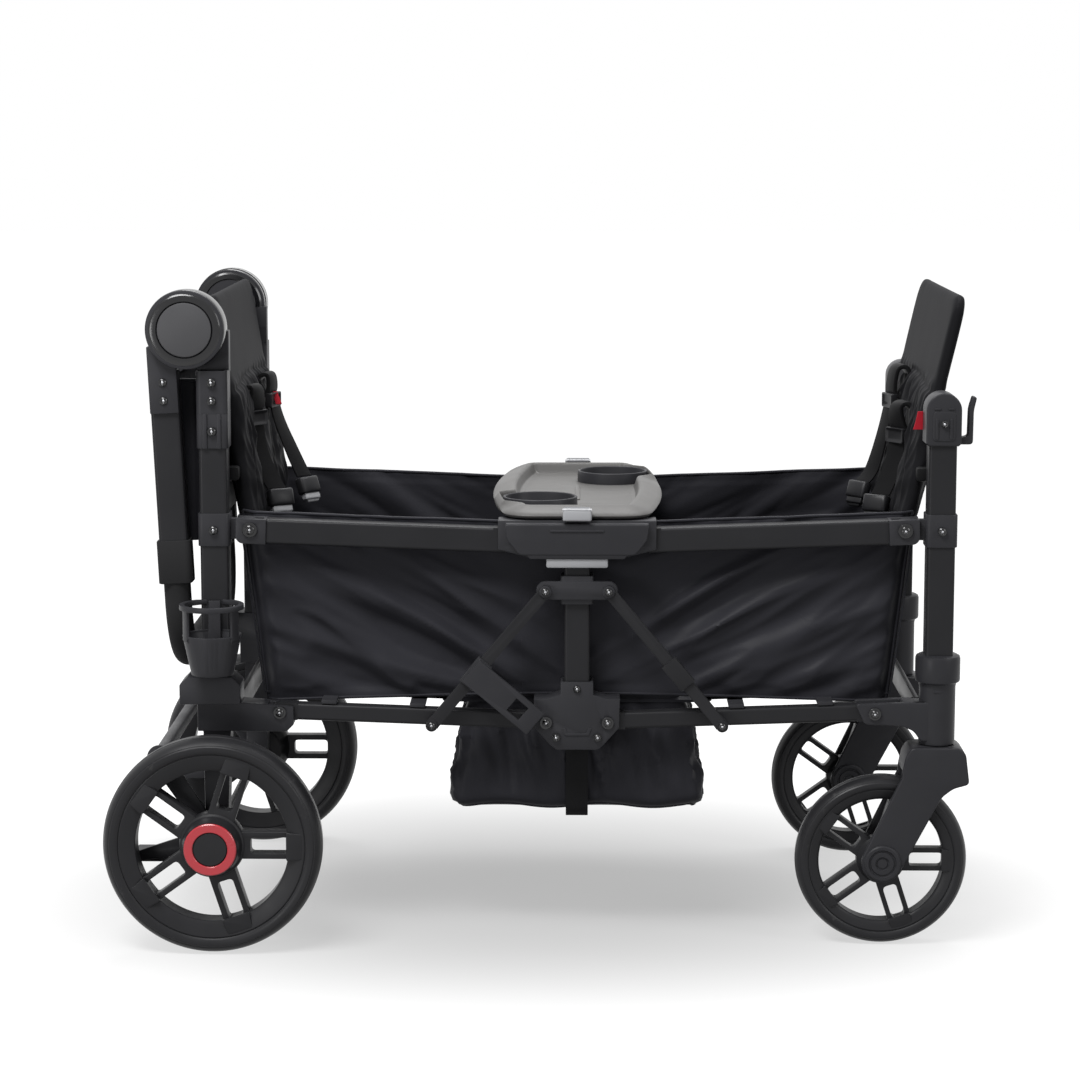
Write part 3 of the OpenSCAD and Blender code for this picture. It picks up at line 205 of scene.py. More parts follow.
# Name, other sockets, dark and light colour, patch in mm, roughness range, grain and its height in mm, bump
PLAIN = {
    # Powder-coated tube, sprayed and baked: satin black with a faint orange peel and wide soft highlights
    "tube": ("powder_coated_steel", {SPECULAR: 0.12}, "#222224", "#2b2b2d", 70, (0.3, 0.4), 1.4, 0.05, 0.25),
    # Glass-filled nylon moulded in a spark-eroded tool: matt charcoal with a fine even grain
    "nylon": ("moulded_nylon", {SPECULAR: 0.14}, "#2b2b2e", "#363639", 45, (0.36, 0.48), 1.1, 0.08, 0.35),
    # ABS moulded in a polished tool: deep black that mirrors the soft boxes
    "gloss": ("polished_abs", {SPECULAR: 0.42}, "#141416", "#19191b", 60, (0.13, 0.2), 6.0, 0.03, 0.1),
    # Textured ABS push pad: even mid charcoal, sandy grain
    "pad": ("textured_abs", {SPECULAR: 0.2}, "#454547", "#4d4d4f", 40, (0.45, 0.55), 0.9, 0.06, 0.35),
    # Nylon wheel moulding: black, a little shinier than the frame fittings, with flow marks
    "rim": ("wheel_nylon", {SPECULAR: 0.16}, "#202022", "#2a2a2c", 30, (0.32, 0.44), 1.2, 0.05, 0.25),
    # EVA foam sleeve: dull black with open cells of about 1 mm, drawn at 1.6 mm so that they show
    "foam": ("eva_foam_grip", {SPECULAR: 0.12}, "#242425", "#2e2e2f", 35, (0.78, 0.9), 1.6, 0.25, 0.5),
    # Moulded EVA tyre: satin black, scuffed by add_scuffs
    "tyre": ("moulded_eva_tyre", {SPECULAR: 0.16}, "#222224", "#2c2c2e", 40, (0.3, 0.46), 1.2, 0.06, 0.3),
    # Red ABS trim ring: bright, smooth and a little glossy
    "red": ("red_abs", {"Coat Weight": 0.25, "Coat Roughness": 0.15}, "#b3232f", "#bd2a36", 25, (0.26, 0.34),
            2.0, 0.03, 0.15),
    # Polypropylene tray with a stippled face: warm mid grey, broad dull highlights
    "tray": ("stippled_polypropylene", {SPECULAR: 0.25}, "#51504f", "#5b5a59", 80, (0.4, 0.52),
             1.3, 0.08, 0.35),
    # Light grey ABS buttons and clips: pale, smooth, slightly satin
    "grey": ("light_grey_abs", {SPECULAR: 0.45}, "#9fa0a3", "#a9aaad", 30, (0.38, 0.46), 1.2, 0.05, 0.25),
    # Bright metal for the dots in the screws' middles, a painted highlight on the black heads: bright domes
    # with fine turning marks
    "highlight_dot_metal": ("painted_highlight_metal", {"Metallic": 1.0}, "#8e8f92", "#a3a4a6", 4, (0.24, 0.36), 0.8, 0.03, 0.3),
    # Blackened steel axle and pins: dark metal with an oily sheen
    "axle": ("blackened_steel", {"Metallic": 0.6}, "#2a2a2b", "#343435", 12, (0.3, 0.42), 0.9, 0.03, 0.25),
}


def plain(name, sockets, dark, light, patch_mm, rough, grain_mm, lift_mm, strength):
    """Cloudy colour and roughness over patch_mm, and a bump of grain_mm."""
    made, tree, shader, place = start(name, rough[0], **sockets)
    cloud = add(tree, "TexNoise", {"Vector": place, "Scale": 1 / (patch_mm * MM), "Detail": 3.0})
    tint = add(tree, "Mix", {0: cloud.outputs[0], 6: linear(dark), 7: linear(light)}, data_type="RGBA")
    tree.links.new(tint.outputs[2], shader.inputs["Base Color"])
    gloss = add(tree, "MapRange", {"Value": cloud.outputs[0], "From Min": 0.3, "From Max": 0.7,
                                   "To Min": rough[0], "To Max": rough[1]})
    tree.links.new(gloss.outputs[0], shader.inputs["Roughness"])
    grain = add(tree, "TexNoise", {"Vector": place, "Scale": 1 / (grain_mm * MM), "Detail": 2.0})
    bump = add(tree, "Bump", {"Height": grain.outputs[0], "Distance": lift_mm * MM, "Strength": strength})
    tree.links.new(bump.outputs[0], shader.inputs["Normal"])
    return made


def add_scuffs(made):
    """Pale scuffs of 4 to 20 mm where a tyre has rubbed."""
    tree = made.node_tree
    base = next(node for node in tree.nodes if node.type == "BSDF_PRINCIPLED").inputs["Base Color"]
    place = add(tree, "TexCoord").outputs["Object"]
    marks = add(tree, "TexNoise", {"Vector": place, "Scale": 1 / (16 * MM), "Detail": 5.0, "Roughness": 0.7})
    worn = add(tree, "MapRange", {"Value": marks.outputs[0], "From Min": 0.62, "From Max": 0.74,
                                  "To Max": 0.5})
    scuff = add(tree, "Mix", {0: worn.outputs[0], 6: base.links[0].from_socket, 7: linear("#4c4c4c")},
                data_type="RGBA")
    tree.links.new(scuff.outputs[2], base)


def woven(name, dark, light, thread_mm, crumple_mm, rough, sheen, lift, spec, weave):
    """Cloth with crossing threads, soft crumples and a sheen; threads are in object space."""
    made, tree, shader, place = start(name, rough, **{
        SPECULAR: spec, "Sheen Weight": sheen, "Sheen Roughness": 0.4})
    cloud = add(tree, "TexNoise", {"Vector": place, "Scale": 1 / (90 * MM), "Detail": 4.0})
    # A wave repeats every 0.314 of its scaled coordinate
    bands = 0.314 / (thread_mm * MM)
    turned = add(tree, "Mapping", {"Vector": place, "Rotation": (0, 0, math.radians(45))})
    warp = add(tree, "TexWave", {"Vector": turned.outputs[0], "Scale": bands * 1.41}, bands_direction="X")
    weft = add(tree, "TexWave", {"Vector": place, "Scale": bands}, bands_direction="Z")
    cross = add(tree, "Math", {0: warp.outputs["Fac"], 1: weft.outputs["Fac"]}, operation="MULTIPLY")
    shade = add(tree, "MapRange", {"Value": cross.outputs[0], "To Min": 0.55 - weave, "To Max": 0.55 + weave})
    shade = add(tree, "Math", {0: shade.outputs[0], 1: cloud.outputs[0]}, operation="MULTIPLY_ADD")
    shade.inputs[2].default_value = 0.1
    tint = add(tree, "Mix", {0: shade.outputs[0], 6: linear(dark), 7: linear(light)}, data_type="RGBA")
    tree.links.new(tint.outputs[2], shader.inputs["Base Color"])
    crumple = add(tree, "TexNoise", {"Vector": place, "Scale": 1 / (crumple_mm * MM), "Detail": 3.0,
                                     "Distortion": 0.6})
    soft = add(tree, "Bump", {"Height": crumple.outputs[0], "Distance": lift * MM, "Strength": 0.5})
    thread = add(tree, "Bump", {"Height": cross.outputs[0], "Distance": 0.12 * MM, "Strength": weave * 2,
                                "Normal": soft.outputs[0]})
    tree.links.new(thread.outputs[0], shader.inputs["Normal"])
    return made


def mesh_cloth():
    # Knitted polyester mesh: a dark net with open cells of 2 mm, drawn at 4 mm so that they show; the cells
    # are painted pale grey, painted light standing for the light seen through them
    made, tree, shader, place = start("polyester_mesh", 0.6, **{SPECULAR: 0.3})
    flat = add(tree, "Mapping", {"Vector": place, "Scale": (0.05, 1, 1)})
    cells = add(tree, "TexVoronoi", {"Vector": flat.outputs[0], "Scale": 1 / (4 * MM), "Randomness": 0.15})
    hole = add(tree, "MapRange", {"Value": cells.outputs["Distance"], "From Min": 0.25, "From Max": 0.4})
    # Pale grey in the cells is painted light through the open holes; the threads are dark
    tint = add(tree, "Mix", {0: hole.outputs[0], 6: linear("#6a6a6c"), 7: linear("#232325")},
               data_type="RGBA")
    tree.links.new(tint.outputs[2], shader.inputs["Base Color"])
    bump = add(tree, "Bump", {"Height": hole.outputs[0], "Distance": 0.4 * MM, "Strength": 0.6})
    tree.links.new(bump.outputs[0], shader.inputs["Normal"])
    return made


# Modelling helpers

def clear():
    if bpy.context.mode != "OBJECT":
        bpy.ops.object.mode_set(mode="OBJECT")
    bpy.ops.object.select_all(action="DESELECT")


def hold(piece):
    clear()
    piece.select_set(True)
    bpy.context.view_layer.objects.active = piece
    return piece


def drawn(name, points, edges=(), faces=()):
    """A mesh object from points in mm."""
    mesh = bpy.data.meshes.new(name)
    mesh.from_pydata([Vector(p) * MM for p in points], edges, faces)
    return hold(placed(name, mesh))


def edit_all(piece):
    """Enters edit mode with everything selected."""
    hold(piece)
    bpy.ops.object.mode_set(mode="EDIT")
    bpy.ops.mesh.select_all(action="SELECT")


def heal(piece):
    """Merges doubles and turns the faces outwards."""
    edit_all(piece)
    bpy.ops.mesh.remove_doubles(threshold=0.02 * MM)
    bpy.ops.mesh.normals_make_consistent(inside=False)
    bpy.ops.object.mode_set(mode="OBJECT")
    return piece


def modify(piece, kind, **settings):
    hold(piece)
    step = piece.modifiers.new(kind.lower(), kind)
    for key, value in settings.items():
        setattr(step, key, value)
    bpy.ops.object.modifier_apply(modifier=step.name)
    return piece


def round_edges(piece, width, angle=35, segments=2):
    return modify(piece, "BEVEL", width=width * MM, segments=segments, limit_method="ANGLE",
                  angle_limit=math.radians(angle), use_clamp_overlap=False)


def choose(piece, test):
    """Enters edit mode with the faces selected that pass the test on their middle (mm) and normal."""
    hold(piece)
    bpy.ops.object.mode_set(mode="EDIT")
    bpy.ops.mesh.select_mode(type="FACE")
    bpy.ops.mesh.select_all(action="DESELECT")
    grid = bmesh.from_edit_mesh(piece.data)
    for face in grid.faces:
        if test(face.calc_center_median() / MM, face.normal):
            face.select_set(True)
    bmesh.update_edit_mesh(piece.data)


def block(name, low, high):
    """A box between two corners in mm from the fold line, ready to be shaped."""
    clear()
    low, high = at(*low), at(*high)
    bpy.ops.mesh.primitive_cube_add(size=1, location=(low + high) / 2)
    piece = bpy.context.object
    piece.name = name
    piece.scale = high - low
    bpy.ops.object.transform_apply(location=True, rotation=True, scale=True)
    return piece


def spun(name, profile, steps=96, ring=False):
    """A profile of (radius, outward) points in mm, spun about the Y axis; outwards is -Y."""
    count = len(profile)
    edges = [(i, i + 1) for i in range(count - 1)] + ([(count - 1, 0)] if ring else [])
    piece = drawn(name, [(r, -out, 0) for r, out in profile], edges)
    edit_all(piece)
    bpy.ops.mesh.spin(steps=steps, angle=math.tau, center=(0, 0, 0), axis=(0, 1, 0))
    bpy.ops.object.mode_set(mode="OBJECT")
    return heal(piece)


def from_curve(name, lines, closed, **settings):
    """A mesh from lines of points in m, drawn as a curve with these settings."""
    curve = bpy.data.curves.new(name, "CURVE")
    for key, value in settings.items():
        setattr(curve, key, value)
    for points in lines:
        line = curve.splines.new("POLY")
        line.points.add(len(points) - 1)
        for point, place in zip(line.points, points):
            point.co = (*place, 1)
        line.use_cyclic_u = closed
    hold(placed(name, curve))
    bpy.ops.object.convert(target="MESH")
    return bpy.context.object


def plate(name, outlines, low, high, soften):
    """Flat outlines in (x, z) mm, the first one filled and the rest cut out, between two outward places."""
    piece = from_curve(name, [[(x * MM, z * MM, 0) for x, z in outline] for outline in outlines], True,
                       dimensions="2D", fill_mode="BOTH", extrude=((high - low) / 2 - soften) * MM,
                       bevel_depth=soften * MM, bevel_resolution=2, offset=-soften * MM)
    piece.data.transform(Matrix.Rotation(math.radians(90), 4, "X"))
    piece.data.transform(Matrix.Translation((0, -(low + high) / 2 * MM, 0)))
    return heal(piece)


def joined(pieces):
    clear()
    for piece in pieces:
        piece.select_set(True)
    bpy.context.view_layer.objects.active = pieces[0]
    bpy.ops.object.join()
    return pieces[0]


def moved(piece, matrix):
    piece.data.transform(matrix)
    if matrix.determinant() < 0:
        piece.data.flip_normals()
    return piece


def copied(piece, name, matrix):
    return moved(placed(name, piece.data.copy()), matrix)


def finish(piece, material, body, nodes=(), smooth=32):
    """Gives a piece its shading, material and body, and hides the CAD nodes that it stands for."""
    hold(piece)
    bpy.ops.object.transform_apply(location=True, rotation=True, scale=True)
    bpy.ops.object.shade_smooth_by_angle(angle=math.radians(smooth))
    piece.data.materials.clear()
    piece.data.materials.append(MATERIALS[material])
    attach(piece, body)
    if nodes:
        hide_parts(*nodes)
    return piece


def fillet(points, radius, steps=4):
    """Rounds the corners of a closed outline."""
    made = []
    count = len(points)
    for i in range(count):
        corner = Vector(points[i])
        back, ahead = Vector(points[i - 1]) - corner, Vector(points[(i + 1) % count]) - corner
        cut = min(radius, back.length * 0.45, ahead.length * 0.45)
        a, b = corner + back.normalized() * cut, corner + ahead.normalized() * cut
        for k in range(steps + 1):
            t = k / steps
            made.append(tuple(a * (1 - t) ** 2 + corner * 2 * t * (1 - t) + b * t * t))
    return made


def bar(name, low, high, radius, near, far, soften):
    """A plate with the outline of a rounded rectangle between two (x, z) corners."""
    corners = [low, (high[0], low[1]), high, (low[0], high[1])]
    return plate(name, [fillet(corners, radius)], near, far, soften)


def refined(node, material, soften):
    """A merged copy of a CAD node with its edges rounded, in the node's place."""
    piece = hold(placed(node + "_finished", frame["nodes"][node].data.copy()))
    if piece.data.has_custom_normals:
        bpy.ops.mesh.customdata_custom_splitnormals_clear()
    edit_all(piece)
    bpy.ops.mesh.remove_doubles(threshold=0.01 * MM)
    bpy.ops.mesh.dissolve_limited(angle_limit=math.radians(0.8))
    bpy.ops.object.mode_set(mode="OBJECT")
    if soften:
        round_edges(piece, soften)
    return finish(piece, material, body_of(node), [node])


MATERIALS = {}


def make_materials():
    for key, row in PLAIN.items():
        MATERIALS[key] = plain(*row)
    add_scuffs(MATERIALS["tyre"])
    MATERIALS.update(
        mesh=mesh_cloth(),
        # Satin polyester of the tub: threads of 0.5 mm, drawn at 2.6 mm so that they show, with a cool sheen
        cloth=woven("satin_polyester", "#29292d", "#333338", 2.6, 34, 0.42, 0.03, 1.8, 0.06, 0.05),
        # Brushed polyester over foam: softer and duller than the tub
        cover=woven("brushed_polyester", "#19191b", "#222224", 2.2, 40, 0.5, 0.0, 0.3, 0.015, 0.0),
        # Polypropylene webbing: flat ribs of 1.6 mm, drawn at 2.2 mm so that they show
        webbing=woven("polypropylene_webbing", "#161617", "#222223", 2.2, 12, 0.5, 0.0, 0.3, 0.05, 0.12),
        # Red woven polyester tab
        red_cloth=woven("red_woven_polyester", "#a51f2c", "#b52a37", 1.6, 14, 0.6, 0.1, 0.3, 0.1, 0.1))


# Frame fittings: rounded copies of the solids

# Material and edge rounding in mm
FITTINGS = {
    "rear_posts": ("tube", 0.0), "front_posts": ("tube", 0.0), "rear_post_brackets": ("nylon", 0.8),
    "front_post_brackets": ("nylon", 0.8), "rear_lower_brackets": ("nylon", 1.2),
    "handle_hubs": ("nylon", 0.0),
    "rear_cross_bar": ("tube", 1.0), "front_cross_bar": ("tube", 1.0), "rear_axle": ("axle", 0.6),
    "cup_holder": ("nylon", 1.0), "rear_rivets": ("axle", 1.1), "front_rivets": ("axle", 1.1),
    "middle_rivets": ("axle", 1.1), "rear_upper_rails": ("tube", 0.0), "front_upper_rails": ("tube", 0.0),
    "rear_lower_rails": ("tube", 0.0), "front_lower_rails": ("tube", 0.0), "rear_rail_ends": ("nylon", 1.0),
    "front_rail_ends": ("nylon", 1.0), "middle_posts": ("tube", 0.0), "rail_housings": ("nylon", 1.2),
    "middle_brackets": ("nylon", 1.4), "brace_sliders": ("nylon", 1.0), "rear_braces": ("tube", 0.7),
    "front_braces": ("tube", 0.7), "fold_latches": ("nylon", 0.8), "handle_lugs": ("nylon", 1.4),
    "handle_arms": ("tube", 0.0), "handle_grip": ("foam", 1.2), "handle_pad_right": ("pad", 1.6),
    "handle_pad_left": ("pad", 1.6), "parking_brake": ("nylon", 1.0), "release_button_right": ("grey", 2.2),
    "release_button_left": ("grey", 2.2),
}


def body_of(node):
    for body, nodes in frame["record"]["behaviour"]["bodies"].items():
        if node in nodes:
            return body
    raise KeyError(node)


def make_fittings():
    for node, (material, soften) in FITTINGS.items():
        refined(node, material, soften)


# Wheels, modelled about their own centre with the axle along Y

SPOKE_PAIRS = 5


def around(angle, run, across):
    """A point run mm along a spoke at this angle and across mm beside it."""
    c, s = math.cos(angle), math.sin(angle)
    return (run * c - across * s, run * s + across * c)


def arc(radius, first, last, steps):
    return [around(first + (last - first) * k / steps, radius, 0) for k in range(steps + 1)]


def spoke_disc(name, hub, edge, slot_half, bar, slot_from, slot_to, low, high):
    """Five pairs of spokes: a disc with a slot in each pair and a window between the pairs."""
    outlines = [arc(edge + 3, 0, math.tau, 120)[:-1]]
    side = slot_half + bar
    step = math.tau / SPOKE_PAIRS
    for k in range(SPOKE_PAIRS):
        a = k * step
        slot = [around(a, *p) for p in ((slot_from, -slot_half), (slot_to, -slot_half),
                                        (slot_to, slot_half), (slot_from, slot_half))]
        outlines.append(fillet(slot, 5))
        inner, outer = math.asin(side / hub), math.asin(side / edge)
        window = arc(edge, a + outer, a + step - outer, 14) + arc(hub, a + step - inner, a + inner, 4)
        outlines.append(fillet(window, 4, 3))
    return plate(name, outlines, low, high, 1.0)


def pad_on_rim(name, first, last, half_width, low, high):
    pads = []
    for k in range(SPOKE_PAIRS):
        a = k * math.tau / SPOKE_PAIRS
        shape = [around(a, *p) for p in ((first, -half_width), (last, -half_width * 0.9),
                                         (last, half_width * 0.9), (first, half_width))]
        pads.append(plate(f"{name}_{k}", [fillet(shape, 3)], low, high, 0.8))
    return pads


def both_ways(profile):
    """An outer half profile and its mirror, as one closed section."""
    return profile + [(r, -out) for r, out in reversed(profile)]


def rear_wheel():
    tyre = spun("rear_tyre_model", both_ways([
        (108.2, 6), (107.6, 16.5), (108.4, 19.2), (110.5, 20.8), (114, 21.7), (117.2, 21.6), (118.1, 20.9),
        (118.7, 20.3), (119.4, 20.4), (121.5, 18.8), (124, 15.2), (125.9, 10.5), (126.6, 7.4), (126.2, 6.9),
        (126.3, 5.8), (126.9, 5.2), (127, 2)]), 160, True)
    rim = spun("rear_rim_model", both_ways([
        (88.6, 5), (88.6, 12.6), (89.2, 13.6), (92, 15.0), (97, 16.6), (103, 18.4), (106.6, 19.1),
        (107.9, 18.6), (108.3, 17), (108.3, 5)]), 128, True)
    spokes = spoke_disc("rear_spokes", 36, 89.4, 9.4, 6.6, 44, 88, -8, 10.5)
    hub = spun("rear_hub", [
        (0, -25), (24, -25), (28, -23), (33, -14), (37.4, -7.5), (38, 0), (38, 9.5), (37, 11.6), (34.8, 13),
        (33, 20), (31.6, 28.2), (30.6, 29.8), (19.9, 30), (19.6, 31.2), (18.6, 31.9), (9, 32.3),
        (0, 32.4)], 96)
    rim = joined([rim, spokes, hub] + pad_on_rim("rear_spoke_pad", 86, 105, 16.6, 13.4, 18.9))
    ring = spun("rear_ring_model", [(20.1, 30.3), (20.1, 32.2), (20.9, 33.0), (29.2, 33.0), (30.2, 32.2),
                                    (30.4, 30.3)], 96, True)
    return {"tyre": tyre, "rim": rim, "hub_ring": ring}


def front_wheel():
    tyre = spun("front_tyre_model", both_ways([
        (85.2, 5), (84.6, 13.4), (85.2, 15.6), (87, 17.0), (90, 17.7), (92.4, 17.5), (93.2, 16.8),
        (93.8, 16.3), (94.5, 16.3), (96.4, 14.4), (98.4, 10.6), (99.5, 6.6), (99.1, 6.0), (99.2, 5.0),
        (99.8, 4.4), (100, 1.6)]), 144, True)
    rim = spun("front_rim_model", both_ways([
        (72.6, 4), (72.6, 9.8), (73.2, 10.8), (76, 12.4), (80, 14.0), (83.4, 15.2), (84.8, 14.8),
        (85.3, 13.4), (85.3, 4)]), 120, True)
    spokes = spoke_disc("front_spokes", 27, 73.2, 8, 5.6, 33, 71.5, -7, 8.5)
    hub = spun("front_hub", [(5.2, -18.6), (19, -18.6), (22, -17), (25, -11), (28.4, -6.5), (29, 0),
                             (28.4, 8), (25, 12), (22, 17), (19, 18.6), (5.2, 18.6)], 80, True)
    rim = joined([rim, spokes, hub] + pad_on_rim("front_spoke_pad", 70, 83, 13.6, 10.0, 14.8))
    return {"tyre": tyre, "rim": rim}


# Material and slot
WHEEL_LOOKS = {"tyre": ("tyre", "tyre_foam"), "rim": ("rim", "rim_plastic"),
               "hub_ring": ("red", "red_plastic")}


def make_wheels():
    wheels = ("rear", REAR_WHEEL, rear_wheel()), ("front", FRONT_WHEEL, front_wheel())
    for side, sign in SIDES.items():
        for end, place, models in wheels:
            for part, model in models.items():
                material, slot = WHEEL_LOOKS[part]
                node = f"{end}_{part}_{side}"
                piece = copied(model, f"{node}_wheel", beside(*place, sign))
                finish(piece, material, f"{end}_wheel_{side}", [node], 30)
    for end, place, models in wheels:
        for model in models.values():
            bpy.data.objects.remove(model)


# Swivel wheels: fork with a stepped head, and the round sleeve above it

# The cheeks' inner and outer faces, in mm from the wheel's middle
FORK_IN, FORK_OUT = 20, 27


def fork_cap():
    return spun("fork_cap", [(0, 2.2), (5.5, 2.2), (6.3, 1.4), (7.3, 1.4), (8.2, 3.4), (13, 3.4), (14, 2.0),
                             (15.2, 2.0), (16.4, 4.0), (19.6, 4.0), (21, 2.8), (21.4, -1), (0, -1)], 64)


def make_forks():
    wheel_x, _, wheel_z = FRONT_WHEEL
    hub = [(wheel_x + 24 * math.cos(math.radians(a)), wheel_z + 24 * math.sin(math.radians(a)))
           for a in range(-206, -10, 7)]
    cheek = hub + fillet([(378.9, 99), (423, 178), (436, 188), (454.5, 193), (450, 229), (443, 236.4),
                          (387, 236.4), (380, 226), (376, 206)], 5)[5:]
    head = fillet([(376, 206.4), (380, 226), (387, 236.4), (443, 236.4), (450, 229), (454.5, 193), (436, 189),
                   (410, 197), (396, 206)], 5)
    for side, sign in SIDES.items():
        pieces = [plate("fork_cheek", [cheek], FORK_IN, FORK_OUT, 2.4),
                  plate("fork_cheek", [cheek], -FORK_OUT, -FORK_IN, 2.4),
                  plate("fork_head", [head], -FORK_OUT + 0.8, FORK_OUT - 0.8, 2.4)]
        for face in SIDES.values():
            pieces.append(moved(fork_cap(), by(wheel_x, face * FORK_OUT, wheel_z) @ flip(face)))
        axle = spun("fork_axle", [(0, -FORK_IN), (5, -FORK_IN), (5, FORK_IN), (0, FORK_IN)], 32)
        pieces.append(moved(axle, by(wheel_x, 0, wheel_z)))
        stem = spun("fork_stem", [(0, 234), (8, 234), (8, 255), (0, 255)], 32)
        pieces.append(moved(stem, by(POST_X, 0, 0) @ UPRIGHT))
        fork = moved(joined(pieces), beside(0, SIDE_Y, 0, sign))
        fork.name = f"caster_fork_{side}_finished"
        finish(fork, "nylon", f"caster_{side}", [f"caster_fork_{side}"], 30)

    cheek = fillet([(322, 286), (333, 262), (378, 260), (390, 254), (398, 242), (408, 242), (408, 288),
                    (384, 288)], 5)
    root = fillet([(376, 288), (376, 260), (390, 254), (398, 242), (410, 242), (410, 288)], 4)
    pieces = []
    for sign in SIDES.values():
        sleeve = spun("caster_sleeve", [
            (0, 237), (19.4, 237), (20.8, 238), (21, 239.4), (21, 305), (21.8, 309), (25.4, 311.4),
            (26, 313.4), (26, 338), (25, 341), (22, 342.6), (0, 342.6)], 72)
        parts = [moved(sleeve, by(POST_X, 0, 0) @ UPRIGHT),
                 plate("rail_cheek", [cheek], 9.6, 17, 1.2), plate("rail_cheek", [cheek], -17, -9.6, 1.2),
                 plate("rail_root", [root], -16.4, 16.4, 1.2),
                 bar("sleeve_mark", (411, 300), (421, 302.6), 1.2, 19.6, 21.4, 0.4)]
        pieces.append(moved(joined(parts), beside(0, SIDE_Y, 0, sign)))
    housings = joined(pieces)
    housings.name = "caster_housings_finished"
    finish(housings, "nylon", "front_frame", ["caster_housings"], 30)


# Soft goods: shared helpers

def ease(x, low, high):
    """0 below low, 1 above high and smooth between them."""
    t = min(max((x - low) / (high - low), 0), 1)
    return t * t * (3 - 2 * t)


def ridges(a, b, seed):
    """Folds from -1 to 1 with sharp crests, in units of the fold spacing."""
    return 1 - 2.6 * abs(noise.noise(Vector((a, b, seed))))


def cloth_grid(name, place, across, up):
    """An open sheet from place(u, v), u from -1 to 1 and v from 0 to 1, in mm from the fold line."""
    points = [at(*place(i / across * 2 - 1, j / up)) / MM for j in range(up + 1) for i in range(across + 1)]
    row = across + 1
    faces = [(j * row + i, j * row + i + 1, (j + 1) * row + i + 1, (j + 1) * row + i)
             for j in range(up) for i in range(across)]
    return drawn(name, points, (), faces)


def thicken(piece, thick):
    return modify(piece, "SOLIDIFY", thickness=thick * MM, offset=0.0)


def tube_along(name, points, radius):
    """A round cord of cloth, such as piping, through points in mm from the fold line."""
    return heal(from_curve(name, [[at(*p) for p in points]], False, dimensions="3D", bevel_depth=radius * MM,
                           bevel_resolution=3, use_fill_caps=True))


def smooth_path(points, steps):
    """A soft curve through a few points."""
    made = []
    for i in range(len(points) - 1):
        p = [Vector(points[min(max(i + k, 0), len(points) - 1)]) for k in (-1, 0, 1, 2)]
        for k in range(steps):
            t = k / steps
            made.append(0.5 * (2 * p[1] + (p[2] - p[0]) * t + (2 * p[0] - 5 * p[1] + 4 * p[2] - p[3]) * t * t
                               + (3 * p[1] - p[0] - 3 * p[2] + p[3]) * t ** 3))
    return made + [Vector(points[-1])]


# Tub: side walls, end walls, floor and foot well

# A side wall's half length at the head, how much less it is at the foot, half the housing, the foot's height
WALL_HALF, WALL_TAPER, HOUSING_HALF, WALL_FOOT = 389, 27, 67.8, 291.5
# The hems' height at the housing and the folds' seed, by side
HEMS = {RIGHT: 493, LEFT: 497}
WALL_SEEDS = {RIGHT: 2.0, LEFT: 11.0}
# The end walls' place at the foot, half width, foot height and height
END_X, END_HALF, END_FOOT, END_TALL = 366, 193, 291, 207


def wall_line(u, v, hem):
    """Where the side wall runs in its own plane: (x, z) in mm from the fold line."""
    x = u * (WALL_HALF - WALL_TAPER * (1 - v))
    low = WALL_FOOT - 9 * abs(u) ** 1.5
    top = hem + max(abs(x) - HOUSING_HALF, 0) * SAG
    return x, low + (top - low) * v


def wall_fold(x, z, u, v, seed):
    """Creases from the upper outer corners down to the lower middle, deepest low and outside."""
    cross = (z - abs(x) * 0.55) * 0.88
    run = abs(x) * 0.88 + z * 0.48
    start = seed if x < 0 else seed + 7.3
    wide = ridges(cross / 40, run / 230, start)
    fine = ridges(cross / 21, run / 110, start + 3.1)
    reach = (0.25 + 0.75 * ease(abs(u), 0.1, 0.42)) * (1 - 0.6 * ease(v, 0.5, 0.95)) * ease(v, 0.0, 0.1)
    reach *= 1 - ease(abs(u), 0.93, 1.0)
    drape = noise.noise(Vector((x / 150, z / 110, start + 5)))
    return reach * (9.5 * wide + 3.6 * fine * ease(wide, -0.6, 0.5)) + 6 * drape * ease(v, 0, 0.2) * (1 - v)


def side_wall(name, sign, seed, first, last):
    """The stretch of one side wall from first to last, each a share of its half length."""
    def place(u, v):
        x, z = wall_line(u, v, HEMS[sign])
        out = wall_fold(x, z, u, v, seed)
        if v > 0.945 or v < 0.045:
            out += 0.9
        turn = 9 * ease(abs(u), 0.965, 1.0)
        room = 6.5 + 6 * ease(v, 0.06, 0.2) * (1 - ease(v, 0.7, 0.86))
        return x, sign * (SIDE_Y - 20.5 + min(max(out, -6), room) - turn), z
    across = round(110 * (last - first))
    middle, half = (first + last) / 2, (last - first) / 2
    wall = thicken(cloth_grid(name, lambda u, v: place(middle + half * u, v), across, 64), 1.6)
    edges = []
    for end in (first, last):
        if abs(end) == 1:
            edges.append(tube_along(f"{name}_end", [place(end * 0.998, v / 24) for v in range(25)], 2.4))
    run = [middle + half * step / 40 * 0.998 for step in range(-40, 41)]
    edges.append(tube_along(f"{name}_foot", [place(u, 0) for u in run], 2.0))
    edges.append(tube_along(f"{name}_head", [place(u, 1) for u in run], 1.9))
    return joined([heal(wall)] + edges)


# Where each stretch of a side wall starts and ends, as shares of its half length
WALL_PARTS = {"rear": (-1, -0.175), "middle": (-0.175, 0.175), "front": (0.175, 1)}


def make_side_walls():
    # Each wall hangs in three stretches, so that its ends gather under the rails as they fold
    for side, sign in SIDES.items():
        for part, (first, last) in WALL_PARTS.items():
            wall = side_wall(f"tub_wall_{side}_{part}", sign, WALL_SEEDS[sign], first, last)
            body = "centre" if part == "middle" else f"{part}_top_rails"
            finish(wall, "cloth", body, ["tub_side_walls"], 60)
            if part == "middle":
                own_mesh(wall)
            else:
                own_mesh(wall)


